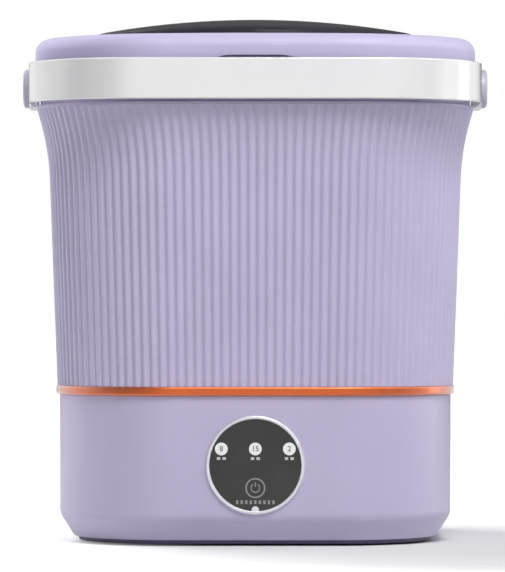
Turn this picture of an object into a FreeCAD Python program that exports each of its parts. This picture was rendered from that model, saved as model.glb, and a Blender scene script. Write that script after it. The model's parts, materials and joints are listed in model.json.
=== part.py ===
import FreeCAD, Part
import math
import os

import Sketcher
from FreeCAD import Placement, Rotation, Vector

# Single-tub washing machine with a reeded casing, a swing handle, a lift-off lid and a belt-driven pulsator.
# Frame: origin on the floor under the middle of the machine, +Z up, control panel towards -Y.

# Driving dimensions: millimetres, apart from counts and shares
SIZES = {
    # Base housing
    "base_width": 283.4,
    "base_corner": 85.0,
    "base_height": 102.5,
    "base_wall": 3.0,
    "chamfer_height": 16.0,
    "chamfer_inset": 10.5,
    "knee_radius": 12.0,
    "lip_radius": 1.5,
    "ledge_width": 6.0,
    "ledge_thickness": 3.0,
    # Feet and bottom cover
    "foot_height": 1.0,
    "foot_radius": 11.0,
    "foot_spacing": 176.0,
    "foot_recess": 1.0,
    "cover_drop": 3.0,
    "cover_thickness": 4.5,
    "cover_gap": 0.4,
    "boss_spacing": 90.0,
    "boss_radius": 5.5,
    "boss_length": 19.0,
    "boss_gap": 0.7,
    "boss_rise": 1.0,
    "pilot_floor": 2.0,
    "head_well_rise": 2.0,
    "vent_count": 7,
    "vent_pitch": 9.0,
    # Screws
    "screw_radius": 1.5,
    "screw_head_radius": 3.3,
    "screw_head_height": 2.0,
    "screw_gap": 0.1,
    # Trim ring and casing
    "trim_width": 288.8,
    "trim_height": 6.5,
    "trim_depth": 4.8,
    "casing_low_width": 287.0,
    "shoulder_share": 0.3724,
    "casing_top_width": 316.0,
    "casing_corner": 85.0,
    "casing_height": 199.0,
    "casing_wall": 3.2,
    "flare_height": 50.0,
    "flute_count": 160,
    "flute_depth": 1.3,
    # Wash tub and collar
    "tub_low_width": 273.0,
    "tub_top_gap": 17.0,
    "tub_corner": 80.0,
    "tub_wall": 2.5,
    "tub_floor": 3.0,
    "tub_bottom_radius": 22.0,
    "floor_margin": 10.0,
    "floor_lap": 2.0,
    "tub_flange": 13.5,
    "flange_thickness": 2.5,
    "collar_inset": 2.6,
    "collar_height": 26.0,
    "collar_wall": 2.4,
    "collar_ledge": 10.4,
    "rim_screw_bite": 3.0,
    # Lid and window
    "lid_overhang": 1.0,
    "lid_corner": 93.5,
    "lid_height": 24.1,
    "lid_overlap": 1.5,
    "lid_wall": 2.3,
    "lid_top_wall": 5.5,
    "lid_edge_radius": 10.0,
    "lid_crown_radius": 7850.0,
    "lid_shoulder": 3.5,
    "lid_step": 10.7,
    "plug_depth": 8.0,
    "plug_wall": 2.5,
    "plug_gap": 2.4,
    "plug_flange": 4.5,
    "plug_flange_thickness": 1.6,
    "rib_overlap": 1.0,
    "seal_width": 4.5,
    "seal_height": 2.5,
    "seal_inset": 0.6,
    "seal_edge": 0.8,
    "notch_width": 104.0,
    "notch_rise": 7.7,
    "notch_run_out": 3.0,
    "notch_depth": 2.0,
    "notch_corner": 40.0,
    "window_radius": 120.0,
    "window_edge": 5.55,
    "window_crown_radius": 640.0,
    "window_thickness": 3.0,
    "window_ledge": 5.0,
    "window_seat": 3.0,
    "window_gap": 0.2,
    # Carry handle
    "handle_height": 29.0,
    "handle_thickness": 2.8,
    "handle_side_gap": 1.0,
    "handle_front_gap": 4.6,
    "handle_corner": 78.0,
    "bend_lead": 1.0,
    "pivot_height": 18.1,
    "pivot_radius": 4.0,
    "pivot_gap": 0.06,
    "eye_radius": 16.0,
    "eye_thickness": 6.7,
    "eye_edge_radius": 1.8,
    "eye_bore_depth": 4.4,
    "pivot_boss_radius": 7.8,
    "pivot_boss_depth": 6.0,
    "pivot_boss_gap": 0.7,
    "pivot_play": 0.2,
    "pivot_head": 2.4,
    "pivot_thread_length": 10.0,
    "cap_radius": 14.2,
    "cap_thickness": 4.3,
    # Control panel
    "panel_rise": 53.7,
    "panel_radius": 35.0,
    "panel_rim": 2.4,
    "panel_proud": 2.0,
    "panel_hole": 32.8,
    "sleeve_wall": 1.2,
    "lens_thickness": 1.4,
    "lens_sink": 0.3,
    "carrier_plate": 2.0,
    "tab_radius": 2.6,
    "tab_inset": 1.0,
    "key_spread": 24.0,
    "key_row": 11.4,
    "power_key_drop": 16.2,
    "touch_pad_radius": 3.0,
    "touch_pad_gap": 0.5,
    "board_width": 78.0,
    "board_height": 66.0,
    "board_thickness": 1.6,
    "board_setback": 5.0,
    "board_corner": 3.0,
    "board_screw_inset": 5.0,
    "plug_width": 12.0,
    "plug_height": 8.0,
    "plug_reach": 5.0,
    "relay_width": 19.0,
    "relay_height": 15.0,
    "capacitor_radius": 5.0,
    "buzzer_radius": 4.0,
    # Deck, bearings and spindle
    "deck_thickness": 3.0,
    "deck_gap": 0.3,
    "spindle_radius": 6.0,
    "journal_radius": 5.0,
    "thread_step": 1.0,
    "running_gap": 0.05,
    "bearing_radius": 14.0,
    "bearing_width": 8.0,
    "bearing_spacing": 40.0,
    "bearing_cover": 1.5,
    "bearing_shield": 0.6,
    "housing_wall": 4.0,
    "housing_skirt": 3.0,
    "housing_step": 2.5,
    "gusset_thickness": 3.0,
    "housing_flange": 34.0,
    "housing_flange_thickness": 4.0,
    "seal_boss_radius": 24.0,
    "seal_boss_height": 6.5,
    "shaft_seal_radius": 16.0,
    "shaft_seal_height": 7.0,
    "seal_land": 4.0,
    "seal_lip": 3.0,
    "seal_lip_height": 2.5,
    # Belt drive
    "pulley_pitch": 48.0,
    "motor_pulley_pitch": 12.0,
    "belt_radius": 2.5,
    "belt_gap": 0.3,
    "belt_level": 27.0,
    "rim_half_height": 6.0,
    "pulley_hub_foot": 1.0,
    "pulley_hub_rise": 3.0,
    "pulley_rim_wall": 3.0,
    "pulley_nut_height": 6.0,
    "web_thickness": 4.0,
    "web_hole_radius": 8.5,
    "web_hole_count": 6,
    "motor_offset": 84.0,
    "motor_radius": 31.0,
    "motor_length": 56.0,
    "motor_shaft_radius": 4.0,
    "end_bell_height": 7.0,
    "end_bell_step": 2.0,
    "mount_thread_depth": 12.0,
    "bracket_width": 88.0,
    "bracket_depth": 70.0,
    "bracket_thickness": 2.5,
    "bracket_level": 38.0,
    "post_spread_x": 74.0,
    "post_spread_y": 56.0,
    "post_radius": 5.0,
    # Pulsator
    "pulsator_radius": 92.0,
    "pulsator_rim": 7.0,
    "pulsator_dish": 9.0,
    "pulsator_wall": 3.0,
    "pulsator_gap": 4.0,
    "hub_radius": 14.0,
    "hub_height": 20.0,
    "hub_clearance": 2.0,
    "spindle_recess": 3.0,
    "vane_count": 4,
    "vane_height": 11.0,
    "vane_width": 12.0,
    "pulsator_screw_head": 3.0,
    "pulsator_cap_height": 8.0,
    "cap_clearance": 1.0,
    # Drain and power inlet
    "drain_x": 55.0,
    "drain_y": 96.0,
    "drain_level": 82.0,
    "drain_bend": 14.0,
    "drain_radius": 10.0,
    "drain_bore": 7.5,
    "drain_flange": 15.0,
    "drain_flange_thickness": 3.0,
    "spigot_length": 16.0,
    "tail_setback": 15.0,
    "elbow_lap": 5.0,
    "socket_depth": 10.0,
    "socket_wall": 2.5,
    "stopper_depth": 12.0,
    "stopper_head": 4.0,
    "strainer_radius": 13.5,
    "strainer_thickness": 1.5,
    "jack_x": 46.0,
    "jack_level": 50.0,
    "jack_radius": 5.5,
    "jack_bore": 2.9,
    "jack_flange": 7.5,
    "jack_length": 12.0,
    "jack_proud": 2.0,
    "jack_nut_height": 3.0,
    "lead_radius": 2.2,
    "lead_bend": 14.0,
    "lead_spacing": 10.0,
    "lead_margin": 8.0,
    "jack_lead_run": 18.0,
}

SIDES = (-1, 1)
CORNERS = [(x, y) for x in SIDES for y in SIDES]
TO_FRONT = Rotation(Vector(1, 0, 0), 90)
TO_BACK = Rotation(Vector(1, 0, 0), -90)
TO_RIGHT = Rotation(Vector(0, 1, 0), 90)
MERGE = 0.5

doc = FreeCAD.newDocument("washing_machine")
nodes = []


class Dim:
    """A size tied to the sheet: the text of its expression and its present value."""

    def __init__(self, text, value):
        self.text = text
        self.value = value

    def __add__(self, other):
        other = as_dim(other)
        return Dim(f"({self.text} + {other.text})", self.value + other.value)

    def __sub__(self, other):
        other = as_dim(other)
        return Dim(f"({self.text} - {other.text})", self.value - other.value)

    def __mul__(self, other):
        other = as_dim(other)
        return Dim(f"({self.text} * {other.text})", self.value * other.value)

    def __truediv__(self, other):
        other = as_dim(other)
        return Dim(f"({self.text} / {other.text})", self.value / other.value)

    def __neg__(self):
        return self * -1

    def __radd__(self, other):
        return as_dim(other) + self

    def __rsub__(self, other):
        return as_dim(other) - self

    def __rmul__(self, other):
        return as_dim(other) * self


def as_dim(size):
    return size if isinstance(size, Dim) else Dim(f"({size})", float(size))


class Sheet:
    """The driving dimensions in a spreadsheet; each is read back under its alias."""

    def __init__(self):
        table = doc.addObject("Spreadsheet::Sheet", "sizes")
        for row, (alias, size) in enumerate(SIZES.items(), 1):
            table.set(f"A{row}", alias)
            table.set(f"B{row}", str(size))
            table.setAlias(f"B{row}", alias)
        doc.recompute()

    def __getattr__(self, alias):
        return Dim(f"sizes.{alias}", SIZES[alias])


s = Sheet()

# Levels above the floor
base_low = s.foot_height + s.cover_drop
base_knee = base_low + s.chamfer_height
base_top = base_low + s.base_height
deck_low = base_top - s.deck_thickness
tub_floor_top = base_top + s.tub_floor
trim_top = base_top + s.trim_height
casing_top = trim_top + s.casing_height
collar_top = casing_top + s.collar_height
flange_top = collar_top + s.flange_thickness
pivot_level = casing_top + s.pivot_height
lid_low = flange_top - s.lid_overlap
lid_top = lid_low + s.lid_height
lid_ceiling = lid_top - s.lid_top_wall
seal_top = flange_top + s.seal_height
cover_top = s.foot_height + s.cover_thickness
boss_low = base_knee + s.boss_rise
panel_level = base_low + s.panel_rise

# Half widths and outline corners
base_half = s.base_width / 2
base_inner = base_half - s.base_wall
base_opening = base_half - s.chamfer_inset - s.base_wall
base_centre = base_half - s.base_corner
boss_line = base_opening - s.boss_radius - s.boss_gap
tub_half = s.tub_low_width / 2
casing_top_half = s.casing_top_width / 2
tub_top_half = casing_top_half - s.tub_top_gap
tub_centre = tub_half - s.tub_corner
collar_half = casing_top_half - s.collar_inset
lid_half = casing_top_half + s.lid_overhang
lid_centre = lid_half - s.lid_corner
handle_inner = lid_half + s.handle_side_gap
handle_front = lid_half + s.handle_front_gap
handle_side = handle_inner + s.handle_thickness / 2
handle_middle = handle_front + s.handle_thickness / 2
grip_half = handle_inner - s.handle_corner - s.bend_lead
arm_length = handle_front - s.handle_corner - s.bend_lead
rim_screw_line = collar_half - s.collar_ledge / 2
rim_screw_offset = lid_centre * 0.6
deck_screw_line = base_inner - s.ledge_width / 2

# Belt drive levels
pulley_hub_low = s.belt_level - s.rim_half_height - s.pulley_hub_foot
pulley_hub_top = s.belt_level + s.rim_half_height + s.pulley_hub_rise
bracket_top = s.bracket_level + s.bracket_thickness
upper_bearing_low = deck_low - s.bearing_cover - s.bearing_width
lower_bearing_low = upper_bearing_low - s.bearing_spacing
housing_low = lower_bearing_low - s.housing_skirt
seal_boss_top = tub_floor_top + s.seal_boss_height
pulsator_low = tub_floor_top + s.pulsator_gap
pulsator_rim_top = pulsator_low + s.pulsator_rim
hub_low = seal_boss_top + s.hub_clearance
hub_top = hub_low + s.hub_height
spindle_top = hub_top - s.spindle_recess


def new_body(label):
    return doc.addObject("PartDesign::Body", label)


def keep(piece):
    """Marks a piece as a node to be written out."""
    nodes.append(piece)
    return piece


def bind(thing, prop, size):
    thing.setExpression(prop, as_dim(size).text)


def place(piece, x=0, y=0, z=0, turn=Rotation()):
    """Puts a piece built in its own frame where it belongs."""
    piece.Placement = Placement(Vector(), turn)
    for axis, size in zip("xyz", (x, y, z)):
        bind(piece, f"Placement.Base.{axis}", size)


def sketch_on(body, plane, offset=0):
    sketch = body.newObject("Sketcher::SketchObject", body.Label + "_sketch")
    support = [item for item in body.Origin.OriginFeatures if item.Role == plane + "_Plane"]
    sketch.AttachmentSupport = [(support[0], "")]
    sketch.MapMode = "FlatFace"
    bind(sketch, "AttachmentOffset.Base.z", offset)
    return sketch


def measure(sketch, kind, where, size):
    size = as_dim(size)
    index = sketch.addConstraint(Sketcher.Constraint(kind, *where, size.value))
    sketch.setExpression(f"Constraints[{index}]", size.text)


def locate(sketch, geometry, point, x, y):
    """Ties a sketch point to the sketch origin."""
    for kind, axis, size in (("DistanceX", -2, x), ("DistanceY", -1, y)):
        if isinstance(size, Dim):
            measure(sketch, kind, (-1, 1, geometry, point), size)
        elif size == 0:
            sketch.addConstraint(Sketcher.Constraint("PointOnObject", geometry, point, axis))
        else:
            sketch.addConstraint(Sketcher.Constraint(kind, -1, 1, geometry, point, float(size)))


def corner_arc(before, corner, after, radius):
    """Start and end of a corner's rounding, its arc, and whether the path turns left there."""
    to_before = (before - corner).normalize()
    to_after = (after - corner).normalize()
    half_angle = to_before.getAngle(to_after) / 2
    start = corner + to_before * (radius / math.tan(half_angle))
    end = corner + to_after * (radius / math.tan(half_angle))
    centre = corner + (to_before + to_after).normalize() * (radius / math.sin(half_angle))
    left = (corner - before).cross(after - corner).z > 0
    first, last = (start, end) if left else (end, start)
    from_angle = math.atan2(first.y - centre.y, first.x - centre.x)
    to_angle = math.atan2(last.y - centre.y, last.x - centre.x)
    if to_angle < from_angle:
        to_angle += 2 * math.pi
    arc = Part.ArcOfCircle(Part.Circle(centre, Vector(0, 0, 1), radius), from_angle, to_angle)
    return start, end, arc, left


def outline(sketch, corners, closed=True):
    """Draws straight sides through the corners (x, y) or, rounded, (x, y, radius)."""
    count = len(corners)
    points = [Vector(as_dim(c[0]).value, as_dim(c[1]).value, 0) for c in corners]
    rounds = {i: as_dim(c[2]) for i, c in enumerate(corners) if len(c) > 2}
    arcs = {i: corner_arc(points[i - 1], points[i], points[(i + 1) % count], rounds[i].value) for i in rounds}
    lines = []
    for i in range(count if closed else count - 1):
        start = arcs[i][1] if i in arcs else points[i]
        follows = (i + 1) % count
        end = arcs[follows][0] if follows in arcs else points[follows]
        lines.append(sketch.addGeometry(Part.LineSegment(start, end), False))
    for i, corner in enumerate(corners):
        if i in arcs:
            before, after = lines[i - 1], lines[i]
            arc = sketch.addGeometry(arcs[i][2], False)
            near = 1 if arcs[i][3] else 2
            sketch.addConstraint(Sketcher.Constraint("Tangent", before, 2, arc, near))
            sketch.addConstraint(Sketcher.Constraint("Tangent", arc, 3 - near, after, 1))
            measure(sketch, "Radius", (arc,), rounds[i])
            mark = sketch.addGeometry(Part.Point(points[i]), True)
            sketch.addConstraint(Sketcher.Constraint("PointOnObject", mark, 1, before))
            sketch.addConstraint(Sketcher.Constraint("PointOnObject", mark, 1, after))
            locate(sketch, mark, 1, corner[0], corner[1])
        elif not closed and i == count - 1:
            locate(sketch, lines[-1], 2, corner[0], corner[1])
        else:
            if closed or i > 0:
                sketch.addConstraint(Sketcher.Constraint("Coincident", lines[i - 1], 2, lines[i], 1))
            locate(sketch, lines[i], 1, corner[0], corner[1])


def rounded_square(sketch, half, corner):
    outline(sketch, [
        (half, -half, corner), (half, half, corner), (-half, half, corner), (-half, -half, corner)])


def rectangle(sketch, width, height, radius, x=0, y=0):
    right, left, top, low = x + width / 2, x - width / 2, y + height / 2, y - height / 2
    outline(sketch, [(right, low, radius), (right, top, radius), (left, top, radius), (left, low, radius)])


def circle(sketch, x, y, radius):
    centre = Vector(as_dim(x).value, as_dim(y).value, 0)
    ring = sketch.addGeometry(Part.Circle(centre, Vector(0, 0, 1), as_dim(radius).value), False)
    measure(sketch, "Radius", (ring,), radius)
    locate(sketch, ring, 3, x, y)


def hexagon(sketch, across_flats, x=0, y=0):
    reach = across_flats / math.sqrt(3)
    turns = [math.radians(60 * i) for i in range(6)]
    outline(sketch, [(x + reach * math.cos(a), y + reach * math.sin(a)) for a in turns])


def crown(sketch, reach, top, radius, other_level):
    """Region between a crowned top, as far as reach from the axis, and a flat level above or below it."""
    edge = math.sqrt(radius.value ** 2 - reach.value ** 2)
    centre = Vector(0, top.value - radius.value, 0)
    start_angle = math.atan2(edge, reach.value)
    top_point = Vector(0, top.value, 0)
    end_point = Vector(reach.value, centre.y + edge, 0)
    low_axis = Vector(0, other_level.value, 0)
    low_edge = Vector(reach.value, other_level.value, 0)
    arc = sketch.addGeometry(
        Part.ArcOfCircle(Part.Circle(centre, Vector(0, 0, 1), radius.value), start_angle, math.pi / 2), False)
    axis = sketch.addGeometry(Part.LineSegment(top_point, low_axis), False)
    flat = sketch.addGeometry(Part.LineSegment(low_axis, low_edge), False)
    side = sketch.addGeometry(Part.LineSegment(low_edge, end_point), False)
    for before, after in ((axis, flat), (flat, side)):
        sketch.addConstraint(Sketcher.Constraint("Coincident", before, 2, after, 1))
    sketch.addConstraint(Sketcher.Constraint("Coincident", side, 2, arc, 1))
    sketch.addConstraint(Sketcher.Constraint("Coincident", arc, 2, axis, 1))
    sketch.addConstraint(Sketcher.Constraint("PointOnObject", arc, 3, -2))
    sketch.addConstraint(Sketcher.Constraint("Vertical", side))
    measure(sketch, "Radius", (arc,), radius)
    locate(sketch, axis, 1, 0, top)
    locate(sketch, flat, 1, 0, other_level)
    locate(sketch, flat, 2, reach, other_level)


def feature(body, kind, sketch, length=None, back=False):
    """A pad or pocket; without a length it runs through everything on its side."""
    item = body.newObject("PartDesign::" + kind, f"{body.Label}_{kind.lower()}")
    item.Profile = sketch
    item.Reversed = back
    if length is None:
        item.Type = "ThroughAll"
    else:
        bind(item, "Length", length)
    sketch.Visibility = False
    return item


def pad(body, sketch, length, back=False):
    return feature(body, "Pad", sketch, length, back)


def pocket(body, sketch, length=None, back=False):
    return feature(body, "Pocket", sketch, length, back)


def turned(body, sketch, cut=False):
    """Revolves a sketch a full turn around its own vertical axis."""
    kind = "Groove" if cut else "Revolution"
    item = body.newObject("PartDesign::" + kind, f"{body.Label}_{kind.lower()}")
    item.Profile = sketch
    item.ReferenceAxis = (sketch, ["V_Axis"])
    item.Angle = 360
    return item


def swept(body, profile, spine, cut=False):
    kind = "SubtractivePipe" if cut else "AdditivePipe"
    item = body.newObject("PartDesign::" + kind, f"{body.Label}_sweep")
    item.Profile = profile
    item.Spine = (spine, [])
    return item


def around(body, item, count):
    """Repeats a feature evenly around the vertical axis."""
    pattern = body.newObject("PartDesign::PolarPattern", f"{body.Label}_pattern")
    pattern.Originals = [item]
    pattern.Axis = (item.Profile[0], ["N_Axis"])
    pattern.Angle = 360
    bind(pattern, "Occurrences", count)
    body.Tip = pattern
    return pattern


def rounded(body, radius, chosen):
    """Rounds the edges that the test picks."""
    doc.recompute()
    base = body.Tip
    names = [f"Edge{i}" for i, edge in enumerate(base.Shape.Edges, 1) if chosen(edge)]
    item = body.newObject("PartDesign::Fillet", f"{body.Label}_rounding")
    item.Base = (base, names)
    bind(item, "Radius", radius)
    return item


def at_level(level):
    """Test for edges that lie flat at one height."""
    def lies_there(edge):
        box = edge.BoundBox
        return max(abs(box.ZMin - level.value), abs(box.ZMax - level.value)) < 0.01

    return lies_there


def square_ring(label, half, corner, profile):
    """A profile carried once around a rounded-square outline."""
    body = new_body(label)
    spine = sketch_on(body, "XY")
    rounded_square(spine, half, corner)
    section = sketch_on(body, "XZ")
    outline(section, profile)
    swept(body, section, spine)
    return body


def turned_body(label, profile):
    """A solid of revolution from (radius, height) corners."""
    body = new_body(label)
    section = sketch_on(body, "XZ")
    outline(section, profile)
    turned(body, section)
    return body


def mirrored_group(label, bodies, axes):
    """The pieces with their mirror images across the planes named by their normals, as one node."""
    pieces = list(bodies)
    for normal in axes:
        for piece in list(pieces):
            image = doc.addObject("Part::Mirroring", f"{label}_image")
            image.Source = piece
            image.Normal = normal
            pieces.append(image)
    group = doc.addObject("Part::Compound", label)
    group.Links = pieces
    return keep(group)


def screw_body(label, shank_length, x, y, z, turn=Rotation(), radius=None):
    """A pan-head screw: the head's bearing face in its own frame is at zero, the shank runs down from it."""
    radius = radius or s.screw_radius
    head = s.screw_head_radius
    body = turned_body(label, [
        (0, -shank_length), (radius - 0.4, -shank_length), (radius, -shank_length + 0.8), (radius, 0),
        (head, 0), (head, s.screw_head_height, 0.9), (0, s.screw_head_height)])
    slot = sketch_on(body, "XY", s.screw_head_height)
    rectangle(slot, head, 0.2 * head, 0.08 * head)
    pocket(body, slot, 0.4 * s.screw_head_height)
    cross = sketch_on(body, "XY", s.screw_head_height)
    rectangle(cross, 0.2 * head, head, 0.08 * head)
    pocket(body, cross, 0.4 * s.screw_head_height)
    place(body, x, y, z, turn)
    return body


X_NORMAL = Vector(1, 0, 0)
Y_NORMAL = Vector(0, 1, 0)
UPSIDE_DOWN = Rotation(Vector(1, 0, 0), 180)


def root(size):
    return Dim(f"sqrt({size.text})", math.sqrt(size.value))


def board_points():
    """Screw points of the control board, seen from the front."""
    across = s.board_width / 2 - s.board_screw_inset
    rise = s.board_height / 2 - s.board_screw_inset
    return [(x * across, panel_level + z * rise) for x, z in CORNERS]


def rim_points():
    """Screw points that hold the tub's flange to the collar."""
    points = []
    for x, y in CORNERS:
        points.append((x * rim_screw_offset, y * rim_screw_line))
        points.append((x * rim_screw_line, y * rim_screw_offset))
    return points


def post_points():
    return [(x * s.post_spread_x / 2, s.motor_offset + y * s.post_spread_y / 2) for x, y in CORNERS]


def key_points():
    """Touch points from the panel's centre: three time keys and the power key."""
    row = [(x * s.key_spread, s.key_row) for x in (-1, 0, 1)]
    return row + [(0, -s.power_key_drop)]


def circles(sketch, points, radius):
    for x, y in points:
        circle(sketch, x, y, radius)


def make_base_housing():
    ledge_inner = base_inner - s.ledge_width
    ledge_low = deck_low - s.ledge_thickness
    body = square_ring("base_housing", base_half, s.base_corner, [
        (base_half, base_top, s.lip_radius / 2), (base_inner, base_top), (base_inner, deck_low),
        (ledge_inner, deck_low), (ledge_inner, ledge_low), (base_inner, ledge_low - s.ledge_width),
        (base_inner, base_knee, s.knee_radius - s.base_wall), (base_opening, base_low),
        (base_opening + s.base_wall, base_low, s.lip_radius), (base_half, base_knee, s.knee_radius)])

    bosses = sketch_on(body, "XY", boss_low)
    for x, y in CORNERS:
        middle = x * s.boss_spacing / 2
        left, right = middle - s.boss_radius, middle + s.boss_radius
        near, far = y * (boss_line - s.boss_radius), y * (base_inner + s.base_wall / 2)
        nose = s.boss_radius * 0.9
        outline(bosses, [(left, far), (left, near, nose), (right, near, nose), (right, far)])
    pad(body, bosses, s.boss_length)
    pilots = sketch_on(body, "XY", boss_low)
    circles(pilots, [(x * s.boss_spacing / 2, y * boss_line) for x, y in CORNERS], s.screw_radius + s.screw_gap)
    pocket(body, pilots, s.boss_length - s.pilot_floor, back=True)

    board_posts = sketch_on(body, "XZ", base_inner + MERGE)
    circles(board_posts, board_points(), 2.5 * s.screw_radius)
    pad(body, board_posts, s.board_setback + MERGE, back=True)
    board_pilots = sketch_on(body, "XZ", base_inner - s.board_setback)
    circles(board_pilots, board_points(), s.screw_radius + s.screw_gap)
    pocket(body, board_pilots, s.board_setback, back=True)

    panel_hole = sketch_on(body, "XZ")
    circle(panel_hole, 0, panel_level, s.panel_hole)
    pocket(body, panel_hole, back=True)
    rear_holes = sketch_on(body, "XZ")
    circle(rear_holes, -s.jack_x, s.jack_level, s.jack_radius + s.screw_gap)
    circle(rear_holes, s.drain_x, s.drain_level, s.drain_radius + s.deck_gap)
    pocket(body, rear_holes)

    deck_pilots = sketch_on(body, "XY", deck_low)
    circles(deck_pilots, deck_screw_points(), s.screw_radius + s.screw_gap)
    pocket(body, deck_pilots, s.ledge_thickness)
    return keep(body)


def deck_screw_points():
    return [(x * deck_screw_line, y * s.boss_spacing / 2) for x, y in CORNERS]


def make_bottom_cover():
    half = base_opening - s.cover_gap
    body = new_body("bottom_cover")
    plate = sketch_on(body, "XY", s.foot_height)
    rounded_square(plate, half, half - base_centre)
    pad(body, plate, s.cover_thickness)
    rounded(body, s.cover_thickness / 3, at_level(s.foot_height))

    points = [(x * s.boss_spacing / 2, y * boss_line) for x, y in CORNERS]
    standoffs = sketch_on(body, "XY", cover_top - MERGE)
    circles(standoffs, points, s.boss_radius)
    pad(body, standoffs, boss_low - cover_top + MERGE)
    holes = sketch_on(body, "XY", boss_low)
    circles(holes, points, s.screw_radius + s.screw_gap)
    pocket(body, holes)
    head_wells = sketch_on(body, "XY", s.foot_height)
    circles(head_wells, points, s.screw_head_radius + s.cover_gap)
    pocket(body, head_wells, s.cover_thickness + s.head_well_rise, back=True)

    recesses = sketch_on(body, "XY", s.foot_height)
    circles(recesses, [(x * s.foot_spacing / 2, y * s.foot_spacing / 2) for x, y in CORNERS], s.foot_radius)
    pocket(body, recesses, s.foot_recess, back=True)

    vents = sketch_on(body, "XY", cover_top)
    run = (s.vent_count - 1) * s.vent_pitch
    for y in SIDES:
        rectangle(vents, s.vent_pitch * 0.45, s.motor_radius, s.vent_pitch * 0.2, -run / 2, y * s.motor_offset)
    slots = pocket(body, vents)
    row = body.newObject("PartDesign::LinearPattern", "vent_row")
    row.Originals = [slots]
    row.Direction = (vents, ["H_Axis"])
    bind(row, "Length", run)
    bind(row, "Occurrences", s.vent_count)
    body.Tip = row
    return keep(body)


def make_feet():
    top = s.foot_height + s.foot_recess
    foot = turned_body("foot", [(0, 0), (s.foot_radius, 0, s.foot_height / 2), (s.foot_radius, top), (0, top)])
    place(foot, s.foot_spacing / 2, s.foot_spacing / 2)
    mirrored_group("rubber_feet", [foot], (X_NORMAL, Y_NORMAL))

    seat = cover_top + s.head_well_rise
    length = boss_low - seat + s.boss_length - 2 * s.pilot_floor
    screw = screw_body("bottom_screw", length, s.boss_spacing / 2, boss_line, seat, UPSIDE_DOWN)
    mirrored_group("bottom_screws", [screw], (X_NORMAL, Y_NORMAL))


def make_trim_ring():
    half = s.trim_width / 2
    edge = s.trim_height * 0.25
    return keep(square_ring("trim_ring", half, half - base_centre, [
        (half - s.trim_depth, base_top), (half, base_top, edge), (half, trim_top, edge),
        (half - s.trim_depth, trim_top)]))


def casing_half_at(height):
    """Half width of the casing at a height above its foot: straight sides, then an outward flare."""
    low, top = s.casing_low_width.value / 2, casing_top_half.value
    straight = s.casing_height.value - s.flare_height.value
    slope = (top - low) * s.shoulder_share.value / straight
    beyond = max(0.0, height - straight) / s.flare_height.value
    flare = top - low - slope * s.casing_height.value
    return low + slope * height + flare * beyond ** 2


def outline_point(half, corner, distance):
    """Point and outward direction on a rounded square, measured along it from the middle of its front."""
    flat = half - corner
    bend = corner * math.pi / 2
    quarter, rest = divmod(distance, 2 * flat + bend)
    if rest < flat:
        point, outward = Vector(rest, -half, 0), Vector(0, -1, 0)
    elif rest < flat + bend:
        angle = (rest - flat) / corner
        outward = Vector(math.sin(angle), -math.cos(angle), 0)
        point = Vector(flat, -flat, 0) + outward * corner
    else:
        point, outward = Vector(half, rest - 2 * flat - bend, 0), Vector(1, 0, 0)
    turn = Rotation(Vector(0, 0, 1), 90 * quarter)
    return turn.multVec(point), turn.multVec(outward)


def reeded_wire(half, level):
    """A rounded square made of outward-bowed reeds, with a groove in the middle of its front."""
    scale = half / casing_half_at(0)
    corner = s.casing_corner.value * scale
    depth = s.flute_depth.value
    count = int(s.flute_count.value)
    pitch = (8 * (half - corner) + 2 * math.pi * corner) / count
    lift = Vector(0, 0, level)
    valleys = []
    ridges = []
    for i in range(count):
        point, outward = outline_point(half, corner, i * pitch)
        valleys.append(point - outward * depth + lift)
        ridges.append(outline_point(half, corner, (i + 0.5) * pitch)[0] + lift)
    reeds = [Part.Arc(valleys[i], ridges[i], valleys[(i + 1) % count]).toShape() for i in range(count)]
    return Part.Wire(reeds)


def smooth_wire(half, corner, level):
    flat = half - corner
    edges = []
    for quarter in range(4):
        turn = Rotation(Vector(0, 0, 1), 90 * quarter)
        slant = corner * math.sqrt(0.5)
        stops = [Vector(-flat, -half, level), Vector(flat, -half, level),
                 Vector(flat + slant, -flat - slant, level), Vector(half, -flat, level)]
        start, end, middle, after = [turn.multVec(stop) for stop in stops]
        edges.append(Part.makeLine(start, end))
        edges.append(Part.Arc(end, middle, after).toShape())
    return Part.Wire(edges)


def make_outer_casing():
    height = s.casing_height.value
    straight = height - s.flare_height.value
    steps = [0] + [straight + s.flare_height.value * i / 4 for i in range(5)]
    foot = trim_top.value
    outer = Part.makeLoft([reeded_wire(casing_half_at(z), foot + z) for z in steps], True, True)
    wall = s.casing_wall.value
    hollow = []
    for z in [-1] + steps[1:-1] + [height + 1]:
        half = casing_half_at(z)
        corner = s.casing_corner.value * half / casing_half_at(0)
        hollow.append(smooth_wire(half - wall, corner - wall, foot + z))
    casing = doc.addObject("Part::Feature", "outer_casing")
    casing.Shape = outer.cut(Part.makeLoft(hollow, True, True))
    return keep(casing)


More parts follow.
